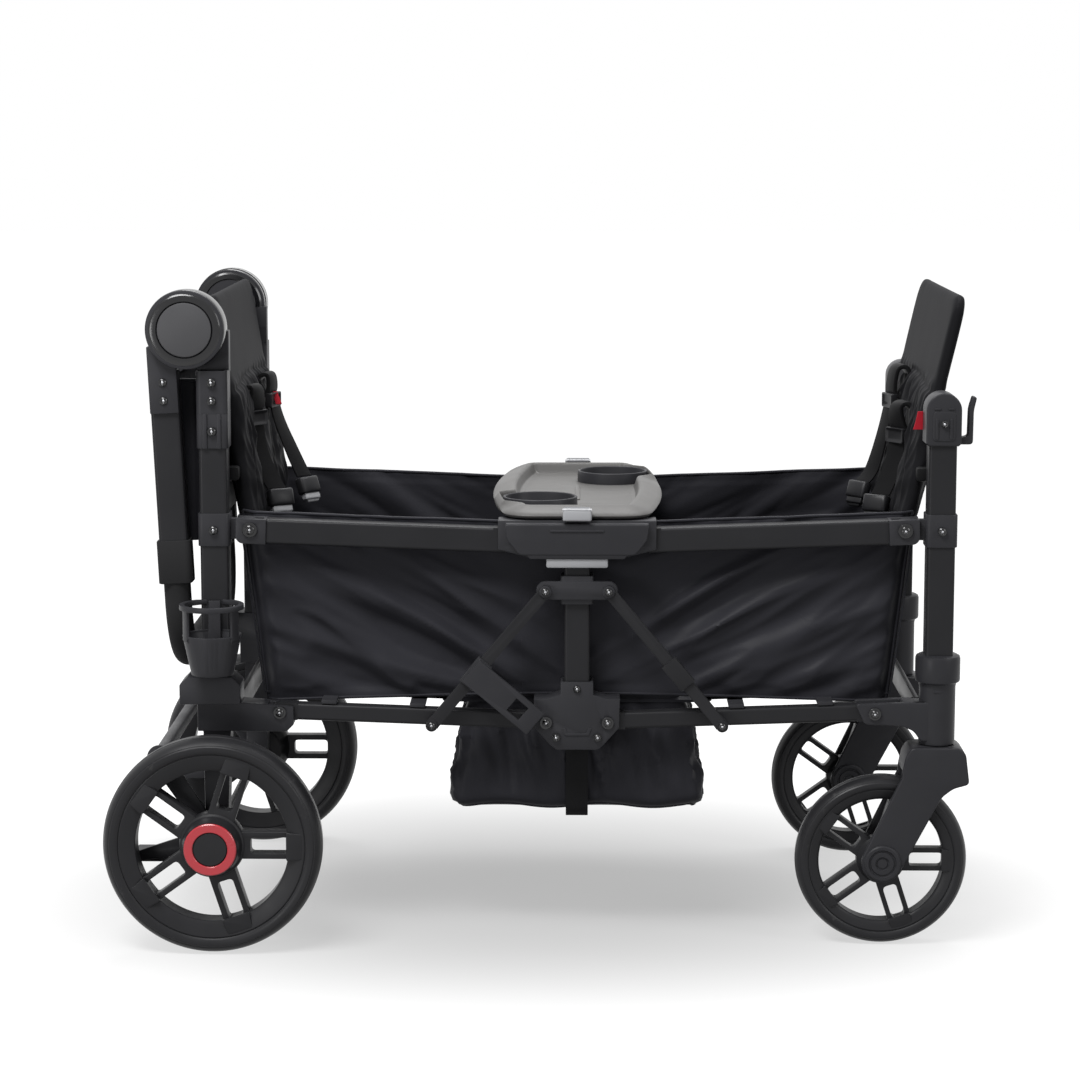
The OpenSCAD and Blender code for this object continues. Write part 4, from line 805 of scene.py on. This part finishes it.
def end_wall(name, sign, seed):
    def place(u, v):
        y = u * END_HALF
        x = -END_X - 27 * v
        fold = ridges(y / 60, v * 0.5, seed) * 2.0 * (1 - u * u) * ease(v, 0.05, 0.4)
        return -sign * (x + fold), y, END_FOOT + END_TALL * v
    wall = thicken(cloth_grid(name, place, 90, 50), 1.6)
    # The cloth turns in at its foot and lies under the floor pad
    flap = cloth_grid(f"{name}_foot", lambda u, v: (
        sign * (END_X - 50 * v), u * END_HALF, END_FOOT - 2.6 * ease(v, 0, 0.5)), 40, 8)
    edges = [tube_along(f"{name}_head", [place(u / 30, 1) for u in range(-30, 31)], 2.2)]
    return joined([heal(wall), heal(thicken(flap, 1.6))] + edges)


def make_end_walls():
    for end, sign in ENDS.items():
        wall = end_wall(f"{end}_end_cloth", sign, 4.0 + sign)
        finish(wall, "cloth", f"{end}_frame", [f"{end}_end_panel"], 60)
        if end == "front":
            # The front end has a mesh window between its hems
            wall.data.materials.append(MATERIALS["mesh"])
            for face in wall.data.polygons:
                y, z = face.center.y / MM, face.center.z / MM
                if abs(y) < 178 and 322 < z < 470:
                    face.material_index = 1


def ringed(name, rings, closed_foot):
    """A shell from rings of points, in mm from the fold line, the last one closed to a point if wanted."""
    count = len(rings[0])
    points = [at(*p) / MM for ring in rings for p in ring]
    faces = []
    for j in range(len(rings) - 1):
        for i in range(count):
            k = (i + 1) % count
            faces.append((j * count + i, j * count + k, (j + 1) * count + k, (j + 1) * count + i))
    if closed_foot:
        faces.append(tuple((len(rings) - 1) * count + i for i in range(count)))
    return drawn(name, points, (), faces)


def round_box(half_x, half_y, radius, count):
    """count points evenly round a rounded rectangle, with the outward normal of each."""
    straight_x, straight_y = 2 * (half_x - radius), 2 * (half_y - radius)
    quarter = radius * math.pi / 2
    total = 2 * (straight_x + straight_y) + 4 * quarter
    made = []
    for i in range(count):
        d = i / count * total
        for side in range(4):
            run = straight_x if side % 2 == 0 else straight_y
            turn = side * math.pi / 2
            c, s = math.cos(turn), math.sin(turn)
            a, b = (half_x, half_y) if side % 2 == 0 else (half_y, half_x)
            if d < run:
                x, y, nx, ny = -a + radius + d, -b, 0, -1
            elif d < run + quarter:
                t = (d - run) / radius
                nx, ny = math.sin(t), -math.cos(t)
                x, y = a - radius + radius * nx, -b + radius + radius * ny
            else:
                d -= run + quarter
                continue
            made.append((x * c - y * s, x * s + y * c, nx * c - ny * s, nx * s + ny * c))
            break
    return made


# The bag's head, depth, half length at the head and half width
WELL_TOP, WELL_DEEP, WELL_HALF_X, WELL_HALF_Y = 288, 134, 124, 191


def make_foot_well():
    def ring(v, shrink=1.0, drop=0.0):
        z = WELL_TOP - WELL_DEEP * v
        turn_in = 12 * (1 - math.sqrt(max(0, 1 - (max(v - 0.9, 0) / 0.1) ** 2)))
        half_x, half_y = WELL_HALF_X + 27 * v - turn_in, WELL_HALF_Y - turn_in
        made = []
        for x, y, nx, ny in round_box(half_x * shrink, half_y * shrink, 16 * shrink, 300):
            along = x if abs(ny) > 0.7 else y
            deep = math.sin(math.pi * min(v, 1)) ** 0.7 * ease(v, 0.0, 0.25)
            seed = (1 if y > 0 else 0) + (2.5 if abs(nx) > 0.7 else 0)
            fold = 11.0 * ridges(along / (32 + 22 * v), v * 0.5, 3.7 + seed)
            fold += 4.0 * ridges((along - 20 * v) / 17, v * 1.2, 9.2 + seed)
            wall = shrink == 1.0
            shift = (fold - 7.5) * deep if wall else 0
            wave = 2.6 * math.sin(along / 19.0) * ease(v, 0.7, 1.0) * (1 if wall else 0.3)
            made.append((x + nx * shift, y + ny * shift, z + wave - drop))
        return made
    rings = [ring(v / 30) for v in range(31)]
    rings += [ring(1, 0.97, 2), ring(1, 0.85, 3.4), ring(1, 0.6, 4.2), ring(1, 0.3, 4.6), ring(1, 0.06, 4.8)]
    bag = thicken(heal(ringed("foot_well_bag", rings, True)), 2.0)
    hem = ring(1)
    piping = tube_along("foot_well_piping", hem + hem[:1], 2.3)
    rim_out, rim_in = round_box(158, 193.5, 10, 160), round_box(123, 188, 10, 160)
    rim = ringed("foot_well_rim", [[(p[0], p[1], z) for p in edge] for edge, z in (
        (rim_in, 284.5), (rim_out, 279.6), (rim_out, 282.6), (rim_in, 288.2), (rim_in, 284.5))], False)
    bag = joined([bag, heal(rim), piping])
    finish(bag, "cloth", "centre", ["foot_well"], 50)
    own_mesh(bag)

    # A carrying strap runs round the bag from bracket to bracket
    loop = smooth_path([(-196, 262), (-197.5, 225), (-198, 172), (-196, 150), (-186, 144), (-120, 143.5),
                        (0, 143), (120, 143.5), (186, 144), (196, 150), (198, 172), (197.5, 225),
                        (196, 262)], 10)
    strap = strip("foot_well_strap", [at(side, y, z) / MM for y, z in loop for side in (-13, 13)], 2.2, 0.6)
    finish(strap, "webbing", "centre", (), 40)


# A floor pad's outer and inner edge along the board, half width, underside and top, in mm
PAD_FROM, PAD_TO, PAD_HALF, PAD_LOW, PAD_HIGH = 22.4, 193, 196, 15.6, 25.2
# Above this height its crown is shaped
PAD_CROWN = 20


def make_floor_pads():
    middle, home = Matrix.Translation(at(0, 0, 0)), Matrix.Translation(-at(0, 0, 0))
    for end, sign in ENDS.items():
        body = f"{end}_bottom_rails"
        # The board's own frame: run 0 at the outer pivot, up from the rail axis, sloping to the middle
        slope = Matrix.Translation(at(*LOWER_PIVOT)) @ Matrix.Rotation(RAIL_SLOPE, 4, "Y")
        if sign > 0:
            slope = middle @ Matrix.Scale(-1, 4, (1, 0, 0)) @ home @ slope
        pad = block(f"{end}_floor_pad", (PAD_FROM, -PAD_HALF, PAD_LOW), (PAD_TO, PAD_HALF, PAD_HIGH))
        edit_all(pad)
        bpy.ops.mesh.subdivide(number_cuts=40)
        bpy.ops.object.mode_set(mode="OBJECT")
        for vertex in pad.data.vertices:
            x, y, z = vertex.co.x / MM - FOLD_X, vertex.co.y / MM, vertex.co.z / MM
            edge = max(min(1, min(x - PAD_FROM, PAD_TO - x) / 12) * min(1, (PAD_HALF - abs(y)) / 12), 0)
            seam = sum(math.exp(-((y - line) / 3.0) ** 2) for line in (-64, 64))
            rise = (3.2 * edge ** 0.5 - 3.2) - 2.2 * seam * edge
            rise += 0.5 * ridges(x / 24, y / 40, 5.0) * edge
            if z > PAD_CROWN:
                vertex.co.z += rise * MM
        moved(pad, slope @ home)
        round_edges(pad, 1.6, 50)
        finish(pad, "cover", body, [f"{end}_floor_board"], 50)
        battens = []
        for share in (0.2, 0.8):
            run = 22 + share * 171.3
            batten = block(f"{end}_batten_{share}", (run - 9, -227, 10.3), (run + 9, 227, 15.3))
            battens.append(round_edges(moved(batten, slope @ home), 1.0))
        finish(joined(battens), "nylon", body, [f"{end}_floor_board"])


# Seats and harness

# Foot's place along X in mm from the fold line, lean in degrees and height in mm; the model is SEAT_TALL high
SEATS = {"rear": (-380, 9.0, 287), "front": (379.5, 12.7, 291)}
SEAT_TALL = 287
SEAT_FOOT = 474
# How far the stuffing swells the cover, in m
SWELL = 0.0016


def seat_model():
    """A thin stuffed seat back: face towards +X, width along Y, foot at z = 0, in its own frame."""
    clear()
    bpy.ops.mesh.primitive_cube_add(size=1, location=(0, 0, 0.1435))
    seat = bpy.context.object
    seat.name = "seat_back_model"
    seat.scale = (0.012, 0.380, 0.283)
    bpy.ops.object.transform_apply(location=True, rotation=True, scale=True)
    # The headrest corners are rounded first, then all the edges
    choose(seat, lambda middle, normal: False)
    bpy.ops.mesh.select_mode(type="EDGE")
    grid = bmesh.from_edit_mesh(seat.data)
    for edge in grid.edges:
        middle = (edge.verts[0].co + edge.verts[1].co) / 2 / MM
        along_x = abs(edge.verts[0].co.x - edge.verts[1].co.x) > 0.008
        edge.select_set(along_x and middle.z > 150)
    bmesh.update_edit_mesh(seat.data)
    bpy.ops.mesh.bevel(offset=0.024, segments=8, affect="EDGES")
    bpy.ops.object.mode_set(mode="OBJECT")
    round_edges(seat, 4.0, 40, 3)
    seat.data.remesh_voxel_size = 0.004
    seat.data.use_remesh_preserve_volume = True
    hold(seat)
    bpy.ops.object.voxel_remesh()
    before = [v.co.copy() for v in seat.data.vertices]
    puff = seat.modifiers.new("puff", "CLOTH")
    puff.settings.use_pressure = True
    puff.settings.uniform_pressure_force = 4
    puff.settings.effector_weights.gravity = 0
    puff.settings.quality = 5
    puff.point_cache.frame_start, puff.point_cache.frame_end = 1, 20
    for step in range(1, 21):
        bpy.context.scene.frame_set(step)
    shown = seat.evaluated_get(bpy.context.evaluated_depsgraph_get())
    swollen = [v.co.copy() for v in shown.data.vertices]
    seat.modifiers.remove(puff)
    bpy.context.scene.frame_set(1)
    for vertex, old, new in zip(seat.data.vertices, before, swollen):
        step = new - old
        if step.length > SWELL:
            step = step.normalized() * SWELL
        vertex.co = old + step
    modify(seat, "SMOOTH", factor=0.5, iterations=10)
    modify(seat, "SUBSURF", levels=1, render_levels=1)
    for vertex in seat.data.vertices:
        x, y, z = vertex.co / MM
        up = z / SEAT_TALL
        face, way = (1 if x > 0 else -1), (1 if y > 0 else -1)
        flat = ease(abs(x), 1.5, 5)
        inside = ease(190 - abs(y), 0, 26) * ease(z, 4, 26) * ease(285 - z, 4, 30)
        low = 1 - ease(up, 0.55, 0.66)
        seam = math.exp(-((z - 174 - 4 * math.cos(y / 60)) / 4.0) ** 2)
        crease = ridges(y / 30 + 0.5 * math.sin(z / 40), z / 95, 2.6 + face)
        slant = ridges((y + z * 0.6) / 24, (z - y * 0.6) / 90, 6.1 + face)
        shift = -2.6 * seam + low * (3.4 * crease + 2.2 * slant + 2.2)
        shift += 0.2 * noise.noise(Vector((y / 70, z / 70, face)))
        vertex.co.x += face * shift * flat * inside * MM
        side = ease(abs(y), 176, 188) * low
        wave = ridges(z / 26, x / 30, 8.4 + (1 if y > 0 else 0))
        vertex.co.y += way * (2.2 * wave - 3.0 * math.sin(math.pi * min(up / 0.62, 1))) * side * MM
        vertex.co.x += low * side * 2.0 * wave * MM
    return seat


def seat_frame(end):
    x, lean, height = SEATS[end]
    mirror = Matrix.Scale(-1, 4, (1, 0, 0)) if ENDS[end] > 0 else Matrix.Identity(4)
    turn = by(-abs(x), 0, SEAT_FOOT) @ Matrix.Rotation(math.radians(-lean), 4, "Y")
    return by(FOLD_X, 0, 0) @ mirror @ turn @ Matrix.Scale(height / SEAT_TALL, 4, (0, 0, 1))


def make_seats():
    model = seat_model()
    for end, sign in ENDS.items():
        seat = copied(model, f"{end}_seat_pad", seat_frame(end))
        finish(seat, "cover", f"{end}_frame", [f"{end}_seat_back"], 70)
        tabs = []
        for side in SIDES.values():
            low, high = sorted((sign * 392, sign * 410))
            near, far = sorted((side * 184, side * 201.6))
            tabs.append(round_edges(block(f"{end}_seat_tab", (low, near, 541), (high, far, 557)), 3.0))
        finish(joined(tabs), "webbing", f"{end}_frame", [f"{end}_seat_back"])
    bpy.data.objects.remove(model)


def strip(name, points, thick, soften):
    """Webbing from pairs of points along its two edges, in mm."""
    faces = [(i, i + 1, i + 3, i + 2) for i in range(0, len(points) - 2, 2)]
    strap = thicken(drawn(name, points, (), faces), thick)
    return round_edges(heal(strap), soften, 40)


def twisted(name, stations, width, thick, steps=10):
    """Webbing through (x, y, z, turn) stations; turn is degrees from across the wagon to along it."""
    points = []
    for x, y, z, turn in smooth_path(stations, steps):
        across = Vector((math.sin(math.radians(turn)), math.cos(math.radians(turn)), 0)) * width / 2
        for side in (-1, 1):
            points.append(at(*(Vector((x, y, z)) + across * side)) / MM)
    return strip(name, points, thick, thick * 0.3)


def pressed(piece, test, border, scale):
    """Insets each face that passes the test by border mm and scales the insets about the model's middle."""
    choose(piece, test)
    bpy.ops.mesh.inset(thickness=border * MM, use_individual=True)
    bpy.ops.transform.resize(value=scale, center_override=(FOLD_X * MM, 0, 0))
    bpy.ops.object.mode_set(mode="OBJECT")


# Each strap: its course from the shoulder slot down, and where its buckle hangs, turned and tipped
STRAPS = {
    ("rear", 62): ([(-402, 62, 626, 0), (-391, 62, 640, 8), (-381, 62, 640, 12), (-380, 62, 622, 16),
                    (-371, 62, 585, 24), (-354, 62, 543, 34), (-341, 62, 514, 38)], (-336, 62, 502, 38, -22)),
    ("rear", -62): ([(-402, -62, 622, 0), (-393, -62, 637, 10), (-385, -62, 634, 20), (-387, -62, 612, 34),
                     (-384, -62, 566, 48), (-372, -62, 532, 56), (-362, -62, 514, 58)],
                    (-358, -62, 503, 58, -16)),
    ("front", 62): ([(414, 62, 632, 0), (404, 62, 651, -8), (392, 62, 648, -12), (388, 62, 622, -16),
                     (378, 62, 570, -24), (366, 62, 526, -34), (354, 62, 508, -38)], (349, 62, 498, -38, 20)),
    ("front", -62): ([(406, -62, 600, 0), (394, -62, 618, -10), (382, -62, 614, -20), (384, -62, 592, -34),
                      (381, -62, 556, -46), (372, -62, 526, -54), (364, -62, 508, -56)],
                     (359, -62, 497, -56, 16)),
}


def strap_slide(end):
    slide = block(f"{end}_slide", (-5, -16, -9), (5, 16, 9))
    pressed(slide, lambda middle, normal: abs(normal.x) > 0.9, 4, (0.4, 1, 1))
    return slide


def strap_buckle(end):
    buckle = block(f"{end}_buckle", (-6, -15, -10), (6, 15, 11))
    pressed(buckle, lambda middle, normal: abs(normal.y) > 0.9, 3, (0.8, 1.12, 0.8))
    pressed(buckle, lambda middle, normal: abs(normal.x) > 0.9, 5, (1.3, 1, 1))
    return buckle


def buckle_tongue(end):
    tongue = block(f"{end}_tongue", (-4, -13, -17), (4, 13, -9))
    choose(tongue, lambda middle, normal: normal.z < -0.9)
    bpy.ops.mesh.inset(thickness=0.0012)
    bpy.ops.mesh.extrude_region_move(TRANSFORM_OT_translate={"value": (0, 0, -0.004)})
    bpy.ops.transform.resize(value=(0.8, 0.8, 1.0))
    bpy.ops.object.mode_set(mode="OBJECT")
    return tongue


def make_harness():
    home = by(-FOLD_X, 0, 0)
    for end, sign in ENDS.items():
        straps, plastic, tongues = [], [], []
        for (seat, y), (course, hang) in STRAPS.items():
            if seat != end:
                continue
            x, _, z, turn = course[3]
            straps.append(twisted(f"{end}_strap", course[3:], 25, 2.2))
            straps.append(twisted(f"{end}_strap_loop", course[:4] + [(x + 8 * sign, y, z - 8, turn)], 28,
                                  5.5))
            place = (Matrix.Translation(at(x - 2 * sign, y, z - 12))
                     @ Matrix.Rotation(math.radians(-turn), 4, "Z"))
            plastic.append(round_edges(moved(strap_slide(end), place @ home), 1.6, 35, 3))
            x, _, z, turn, tip = hang
            place = (Matrix.Translation(at(x, y, z)) @ Matrix.Rotation(math.radians(-turn), 4, "Z")
                     @ Matrix.Rotation(math.radians(tip), 4, "Y"))
            plastic.append(round_edges(moved(strap_buckle(end), place @ home), 2.2, 35, 3))
            tongues.append(round_edges(moved(buckle_tongue(end), place @ home), 1.6, 35, 3))
        body, node = f"{end}_frame", [f"{end}_harness"]
        finish(joined(straps), "webbing", body, node, 40)
        finish(joined(plastic), "rim", body, node)
        # The front tongues are drawn in dark wheel nylon, a painted shade on the light grey part that the
        # rear ones show
        finish(joined(tongues), "grey" if end == "rear" else "rim", body, node)
    # Two plain red tabs: one sewn to the front seat's near edge, one on the rear far strap
    flag = twisted("front_red_tab", [(403, -193, 622, 78), (401, -194, 612, 80), (398, -195, 601, 84)], 22,
                   1.6)
    finish(flag, "red_cloth", "front_frame")
    label = twisted("rear_red_tab", [(-377, 62, 620, 60), (-374, 62, 612, 60), (-371, 62, 604, 60)], 8, 1.4)
    finish(label, "red_cloth", "rear_frame")


# The pocket's head, depth, inner face and half width
POCKET_TOP, POCKET_DEEP, POCKET_NEAR, POCKET_HALF = 656, 186, 437.5, 187


def make_pocket():
    def ring(v):
        z = POCKET_TOP - POCKET_DEEP * v
        out, near = 478 - 14 * v, POCKET_NEAR
        bulge = 6 * math.sin(math.pi * v)
        half_x = (out - near) / 2
        made = []
        for x, y, nx, ny in round_box(half_x, POCKET_HALF, 9, 240):
            fold = swell = 0
            if nx < -0.5:
                fold = (2.4 * ridges(y / 42, v * 0.8, 1.9) - 1.0) * math.sin(math.pi * v)
                swell = nx * (fold + bulge * (1 - (y / POCKET_HALF) ** 2))
            made.append((x - near - half_x + swell, y + ny * fold, z))
        return made
    rings = [ring(v / 24) for v in range(25)]
    foot = ring(1)
    rings += [[((x + 457) * k - 457, y * k, 469.4) for x, y, z in foot] for k in (0.9, 0.5, 0.1)]
    bag = thicken(heal(ringed("rear_pocket_bag", rings, True)), 2.0)
    head = ring(0)
    hem = tube_along("rear_pocket_hem", head + head[:1], 2.6)
    band = block("rear_pocket_band", (-437.6, -199, 641), (-424.4, 199, 655))
    bag = joined([bag, hem, round_edges(band, 2.0)])
    finish(bag, "cloth", "rear_frame", ["rear_pocket"], 50)


# Handle hinges, screws, hooks and tray

def make_hinge_rings():
    # Polished bevelled rings round the push pads, and plainer ones on the inner half discs
    outer = spun("hinge_ring_model", [(31.7, 22), (31.7, 27.4), (32.6, 28.3), (38.6, 28.5), (39.4, 28.2),
                                      (44, 24.6), (45.2, 22.6), (45.4, 21.6), (45.4, 1.0), (44, 0.6),
                                      (44, 20)], 96, True)
    inner = spun("hinge_back_model", [(32, -14), (32, -16.6), (33, -17.4), (38.6, -17.4), (43.4, -14.4),
                                      (44.6, -12), (44.6, -1.0), (43, -0.6), (43, -14)], 96, True)
    for side, sign in SIDES.items():
        for model, name, body in ((outer, "hinge_ring", "handle"), (inner, "hinge_back_ring", "rear_frame")):
            ring = copied(model, f"{name}_{side}", beside(*HANDLE_PIVOT, sign))
            finish(ring, "gloss", body, (), 25)
    bpy.data.objects.remove(outer)
    bpy.data.objects.remove(inner)


def screw_model(radius, washer):
    """A domed socket screw on a washer, head outwards along -Y from 0."""
    profile = [(0, 1.6), (1.9, 1.6), (2.0, 2.9), (2.5, 3.2), (radius * 0.7, 2.8), (radius * 0.95, 1.7),
               (radius, 0.8)]
    if washer:
        profile += [(radius + 0.3, 0.75), (washer - 0.4, 0.7), (washer, 0.3), (washer, -0.6), (0, -0.6)]
    else:
        profile += [(radius, -0.6), (0, -0.6)]
    return spun("screw_model", profile, 40)


# The handle arms lean by this much a mm
ARM_LEAN = math.tan(math.radians(2.6))


def pivot_screws(sign):
    """The screws of the upper and lower rails' outer pivots at one end."""
    return [(sign * UPPER_PIVOT[0], UPPER_PIVOT[1], 17.6, 5.6, 8.6),
            (-sign * LOWER_PIVOT[0], LOWER_PIVOT[2], 19.6, 5.0, 7.4)]


# (x from the fold line, z, outward place, head radius, washer radius), by body
SCREWS = {
    "rear_frame": pivot_screws(-1) + [(-POST_X, z, 20.6, 5.0, 0) for z in (UPPER_PIVOT[1], 602, 637, 658)],
    "front_frame": pivot_screws(1) + [(POST_X, UPPER_PIVOT[1], 20.6, 5.0, 0), (POST_X, 612, 22.6, 4.2, 0)],
    "centre": [(-35.7, 263.3, 19.6, 4.6, 7.2), (35.7, 263.3, 19.6, 4.6, 7.2), (-24, 246, 19.2, 4.4, 0),
               (24, 246, 19.2, 4.4, 0), (0, 303, 17.0, 4.4, 0)],
    "slider": [(-36.4, 418.5, 29.2, 4.6, 0), (36.4, 418.5, 29.2, 4.6, 0)],
    "rear_brace_pair": [(-167.85, 261.6, 28.8, 4.6, 0)], "front_brace_pair": [(167.85, 261.6, 28.8, 4.6, 0)],
    "handle": [(-474.3 + (671 - z) * ARM_LEAN, z, 18.0, 4.8, 0) for z in (637, 658)],
}


def make_screws():
    for body, places in SCREWS.items():
        heads, centres = [], []
        for sign in SIDES.values():
            for x, z, out, radius, washer in places:
                place = beside(x, SIDE_Y + out, z, sign)
                heads.append(moved(screw_model(radius, washer), place))
                # A bright metal dot in each head's middle: a painted highlight on the black screw
                centre = spun("screw_highlight_dot", [(0, 3.3), (0.9, 3.1), (1.6, 2.5), (1.8, 1.5), (0, 1.5)], 24)
                centres.append(moved(centre, place))
        for parts, name, material, slot in ((heads, "screws", "gloss", "black_steel"),
                                            (centres, "screw_painted_highlights", "highlight_dot_metal", "steel")):
            piece = joined(parts)
            piece.name = f"{body}_{name}"
            finish(piece, material, body, (), 30)


def make_middle_plates():
    """Face plates over the rail housings' pin holes, and a pressed bow on each middle bracket."""
    plates = []
    for sign in SIDES.values():
        place = beside(0, SIDE_Y, 0, sign)
        cover = plate("housing_cover", [fillet([(-83, 496), (83, 496), (80, 478), (66, 461), (-66, 461),
                                                (-80, 478)], 4)], 24.5, 26.9, 0.9)
        ridge = bar("housing_ridge", (-31, 488.6), (31, 490.4), 0.8, 26.6, 27.6, 0.4)
        bow = plate("bracket_bow", [fillet([(-17, 257), (-13, 257), (-11, 251), (11, 251), (13, 257),
                                            (17, 257), (14, 248), (-14, 248)], 1.5)], 16.6, 18.2, 0.5)
        plates += [moved(piece, place) for piece in (cover, ridge, bow)]
    finish(joined(plates), "nylon", "centre", (), 30)


def make_hub_cheeks():
    """Blocks that fill the handle hubs on the inner side."""
    cheeks = []
    for sign in SIDES.values():
        edge = sorted((sign * (SIDE_Y - 17.6), sign * (SIDE_Y - 0.8)))
        cheeks.append(round_edges(block("hub_cheek", (-436.2, edge[0], 668), (-399.8, edge[1], 716)), 1.2))
    finish(joined(cheeks), "nylon", "rear_frame")


def make_hook_caps():
    """Front post caps with a round head, a pressed panel and a bag hook."""
    half, low, high = 20.2, 586, 647
    dome = [(half * math.cos(math.pi * k / 20), high - half + half * math.sin(math.pi * k / 20))
            for k in range(21)]
    cap = plate("hook_cap_model", [[(-half, low + 3), (-half + 3, low), (half - 3, low), (half, low + 3)]
                                   + dome], -20, 20, 2.2)
    hook = plate("bag_hook_model", [fillet([
        (16, 587), (34.6, 587), (35, 626), (38.4, 641), (33.6, 642.4), (29.4, 628), (28.8, 597), (24, 595.6),
        (16, 595.6)], 4.5)], -8, 8, 1.4)
    panel = bar("hook_cap_panel", (-13, 592), (13, 626), 5, 19.6, 20.9, 0.6)
    ribs = [bar("hook_cap_rib", (x - 1.6, 594), (x + 1.6, 618), 1.4, 20.6, 22.0, 0.5) for x in (-8, 8)]
    ribs += [bar("hook_cap_bar", (x - 4, 628), (x + 4, 630), 0.9, 19.7, 21.2, 0.4) for x in (-8, 8)]
    model = joined([cap, hook, panel] + ribs)
    caps = []
    for side, sign in SIDES.items():
        caps.append(copied(model, f"hook_cap_{side}", beside(POST_X, SIDE_Y, 0, sign)))
    bpy.data.objects.remove(model)
    finish(joined(caps), "nylon", "front_frame", ["hook_caps"], 30)


# Half length, half width, bow of the sides and corner radius
TRAY_HALF_Y, TRAY_HALF_X, TRAY_BOW, TRAY_CORNER = 233, 102.5, 21.5, 34
TRAY_CUPS = ((-44, -128), (44, 128))


def tray_outline(inset):
    """Bowed sides running into rounded ends, in (x, y) mm, moved inwards by inset."""
    radius, half_y = max(TRAY_CORNER - inset, 6), TRAY_HALF_Y - inset

    def side(y):
        return TRAY_HALF_X - TRAY_BOW * (y / TRAY_HALF_Y) ** 2 - inset
    made = []
    for turn in (1, -1):
        for way in (-1, 1):
            tip, corner = Vector((side(half_y) - radius, way * half_y)), Vector((side(half_y), way * half_y))
            foot = Vector((side(half_y - radius), way * (half_y - radius)))
            curve = [tip * (1 - t) ** 2 + corner * 2 * t * (1 - t) + foot * t * t
                     for t in (k / 12 for k in range(13))]
            if way < 0:
                run = [Vector((side(y), y)) for y in ((half_y - radius) * (k / 20 - 1) for k in range(1, 40))]
                made += [(turn * p.x, turn * p.y) for p in curve + run]
            else:
                made += [(turn * p.x, turn * p.y) for p in reversed(curve)]
    return made


def make_tray():
    # A broad sloping rim round a sunk basin, with two black cups
    section = [(9, 500.6), (3, 501.2), (0.7, 502.6), (0, 504.4), (1, 506), (6, 508.6), (14, 511.8), (21, 514),
               (24.4, 514.5), (26.8, 513.6), (28.4, 511), (30, 505), (32, 501.8), (36, 500.7), (40, 500.5),
               (40, 499.3), (33, 499.4), (29, 500.4)]

    def course(inset):
        # The rim draws in beside each cup
        made = []
        for wide, slim in zip(tray_outline(inset), tray_outline(inset * 0.24)):
            near = max(1 - ease(abs(wide[1] - y), 38, 62) if wide[0] * x > 0 else 0 for x, y in TRAY_CUPS)
            made.append((wide[0] + (slim[0] - wide[0]) * near, wide[1] + (slim[1] - wide[1]) * near))
        return made
    rings = [[(x, y, z) for x, y in course(inset)] for inset, z in section]
    rim = heal(ringed("tray_rim", rings + rings[:1], False))
    lay = Matrix.Translation(at(0, 0, 0)) @ UPRIGHT
    holes = [[(x + 41 * math.cos(math.tau * k / 64), y + 41 * math.sin(math.tau * k / 64)) for k in range(64)]
             for x, y in TRAY_CUPS]
    floor = moved(plate("tray_floor", [course(36)] + holes, 499.2, 500.7, 0.3), lay)
    rib = bar("tray_rib", (-3, -60), (3, 70), 2.5, 500.2, 502, 0.6)
    finish(joined([rim, floor, moved(rib, lay)]), "tray", "tray", ["snack_tray"], 40)
    wells = []
    for x, y in TRAY_CUPS:
        cup = spun("tray_cup", [
            (0, 479.5), (35, 479.5), (37.5, 480.6), (39, 484), (40.2, 512.4), (40.8, 514), (42, 514.6),
            (43.4, 514.2), (44, 513), (44.2, 499), (41.6, 497), (40.2, 482), (38.4, 478.6), (35, 477.8),
            (0, 477.8)], 80)
        wells.append(moved(cup, Matrix.Translation(at(x, y, 0)) @ UPRIGHT))
    finish(joined(wells), "nylon", "tray", ["snack_tray"], 40)
    clips, caps = [], []
    for sign in SIDES.values():
        edge = sorted((sign * 224, sign * 240))
        clips.append(round_edges(block("tray_clip", (-15, edge[0], 500), (15, edge[1], 514)), 1.4))
        edge = sorted((sign * 236, sign * 250))
        cap = block("tray_clip_cap", (-16.6, edge[0], 500.6), (16.6, edge[1], 513.6))
        choose(cap, lambda middle, normal: normal.z > 0.9)
        bpy.ops.mesh.inset(thickness=0.002)
        bpy.ops.mesh.extrude_region_move(TRANSFORM_OT_translate={"value": (0, 0, 0.0012)})
        bpy.ops.object.mode_set(mode="OBJECT")
        caps.append(round_edges(cap, 2.2, 35, 3))
    finish(joined(clips), "nylon", "tray", ["snack_tray"])
    finish(joined(caps), "grey", "tray", ["snack_tray"])


clear()
set_camera()
set_stage()
make_materials()
make_fittings()
make_wheels()
make_forks()
make_hinge_rings()
make_screws()
make_middle_plates()
make_hub_cheeks()
make_hook_caps()
make_tray()
make_side_walls()
make_end_walls()
make_foot_well()
make_floor_pads()
make_seats()
make_harness()
make_pocket()
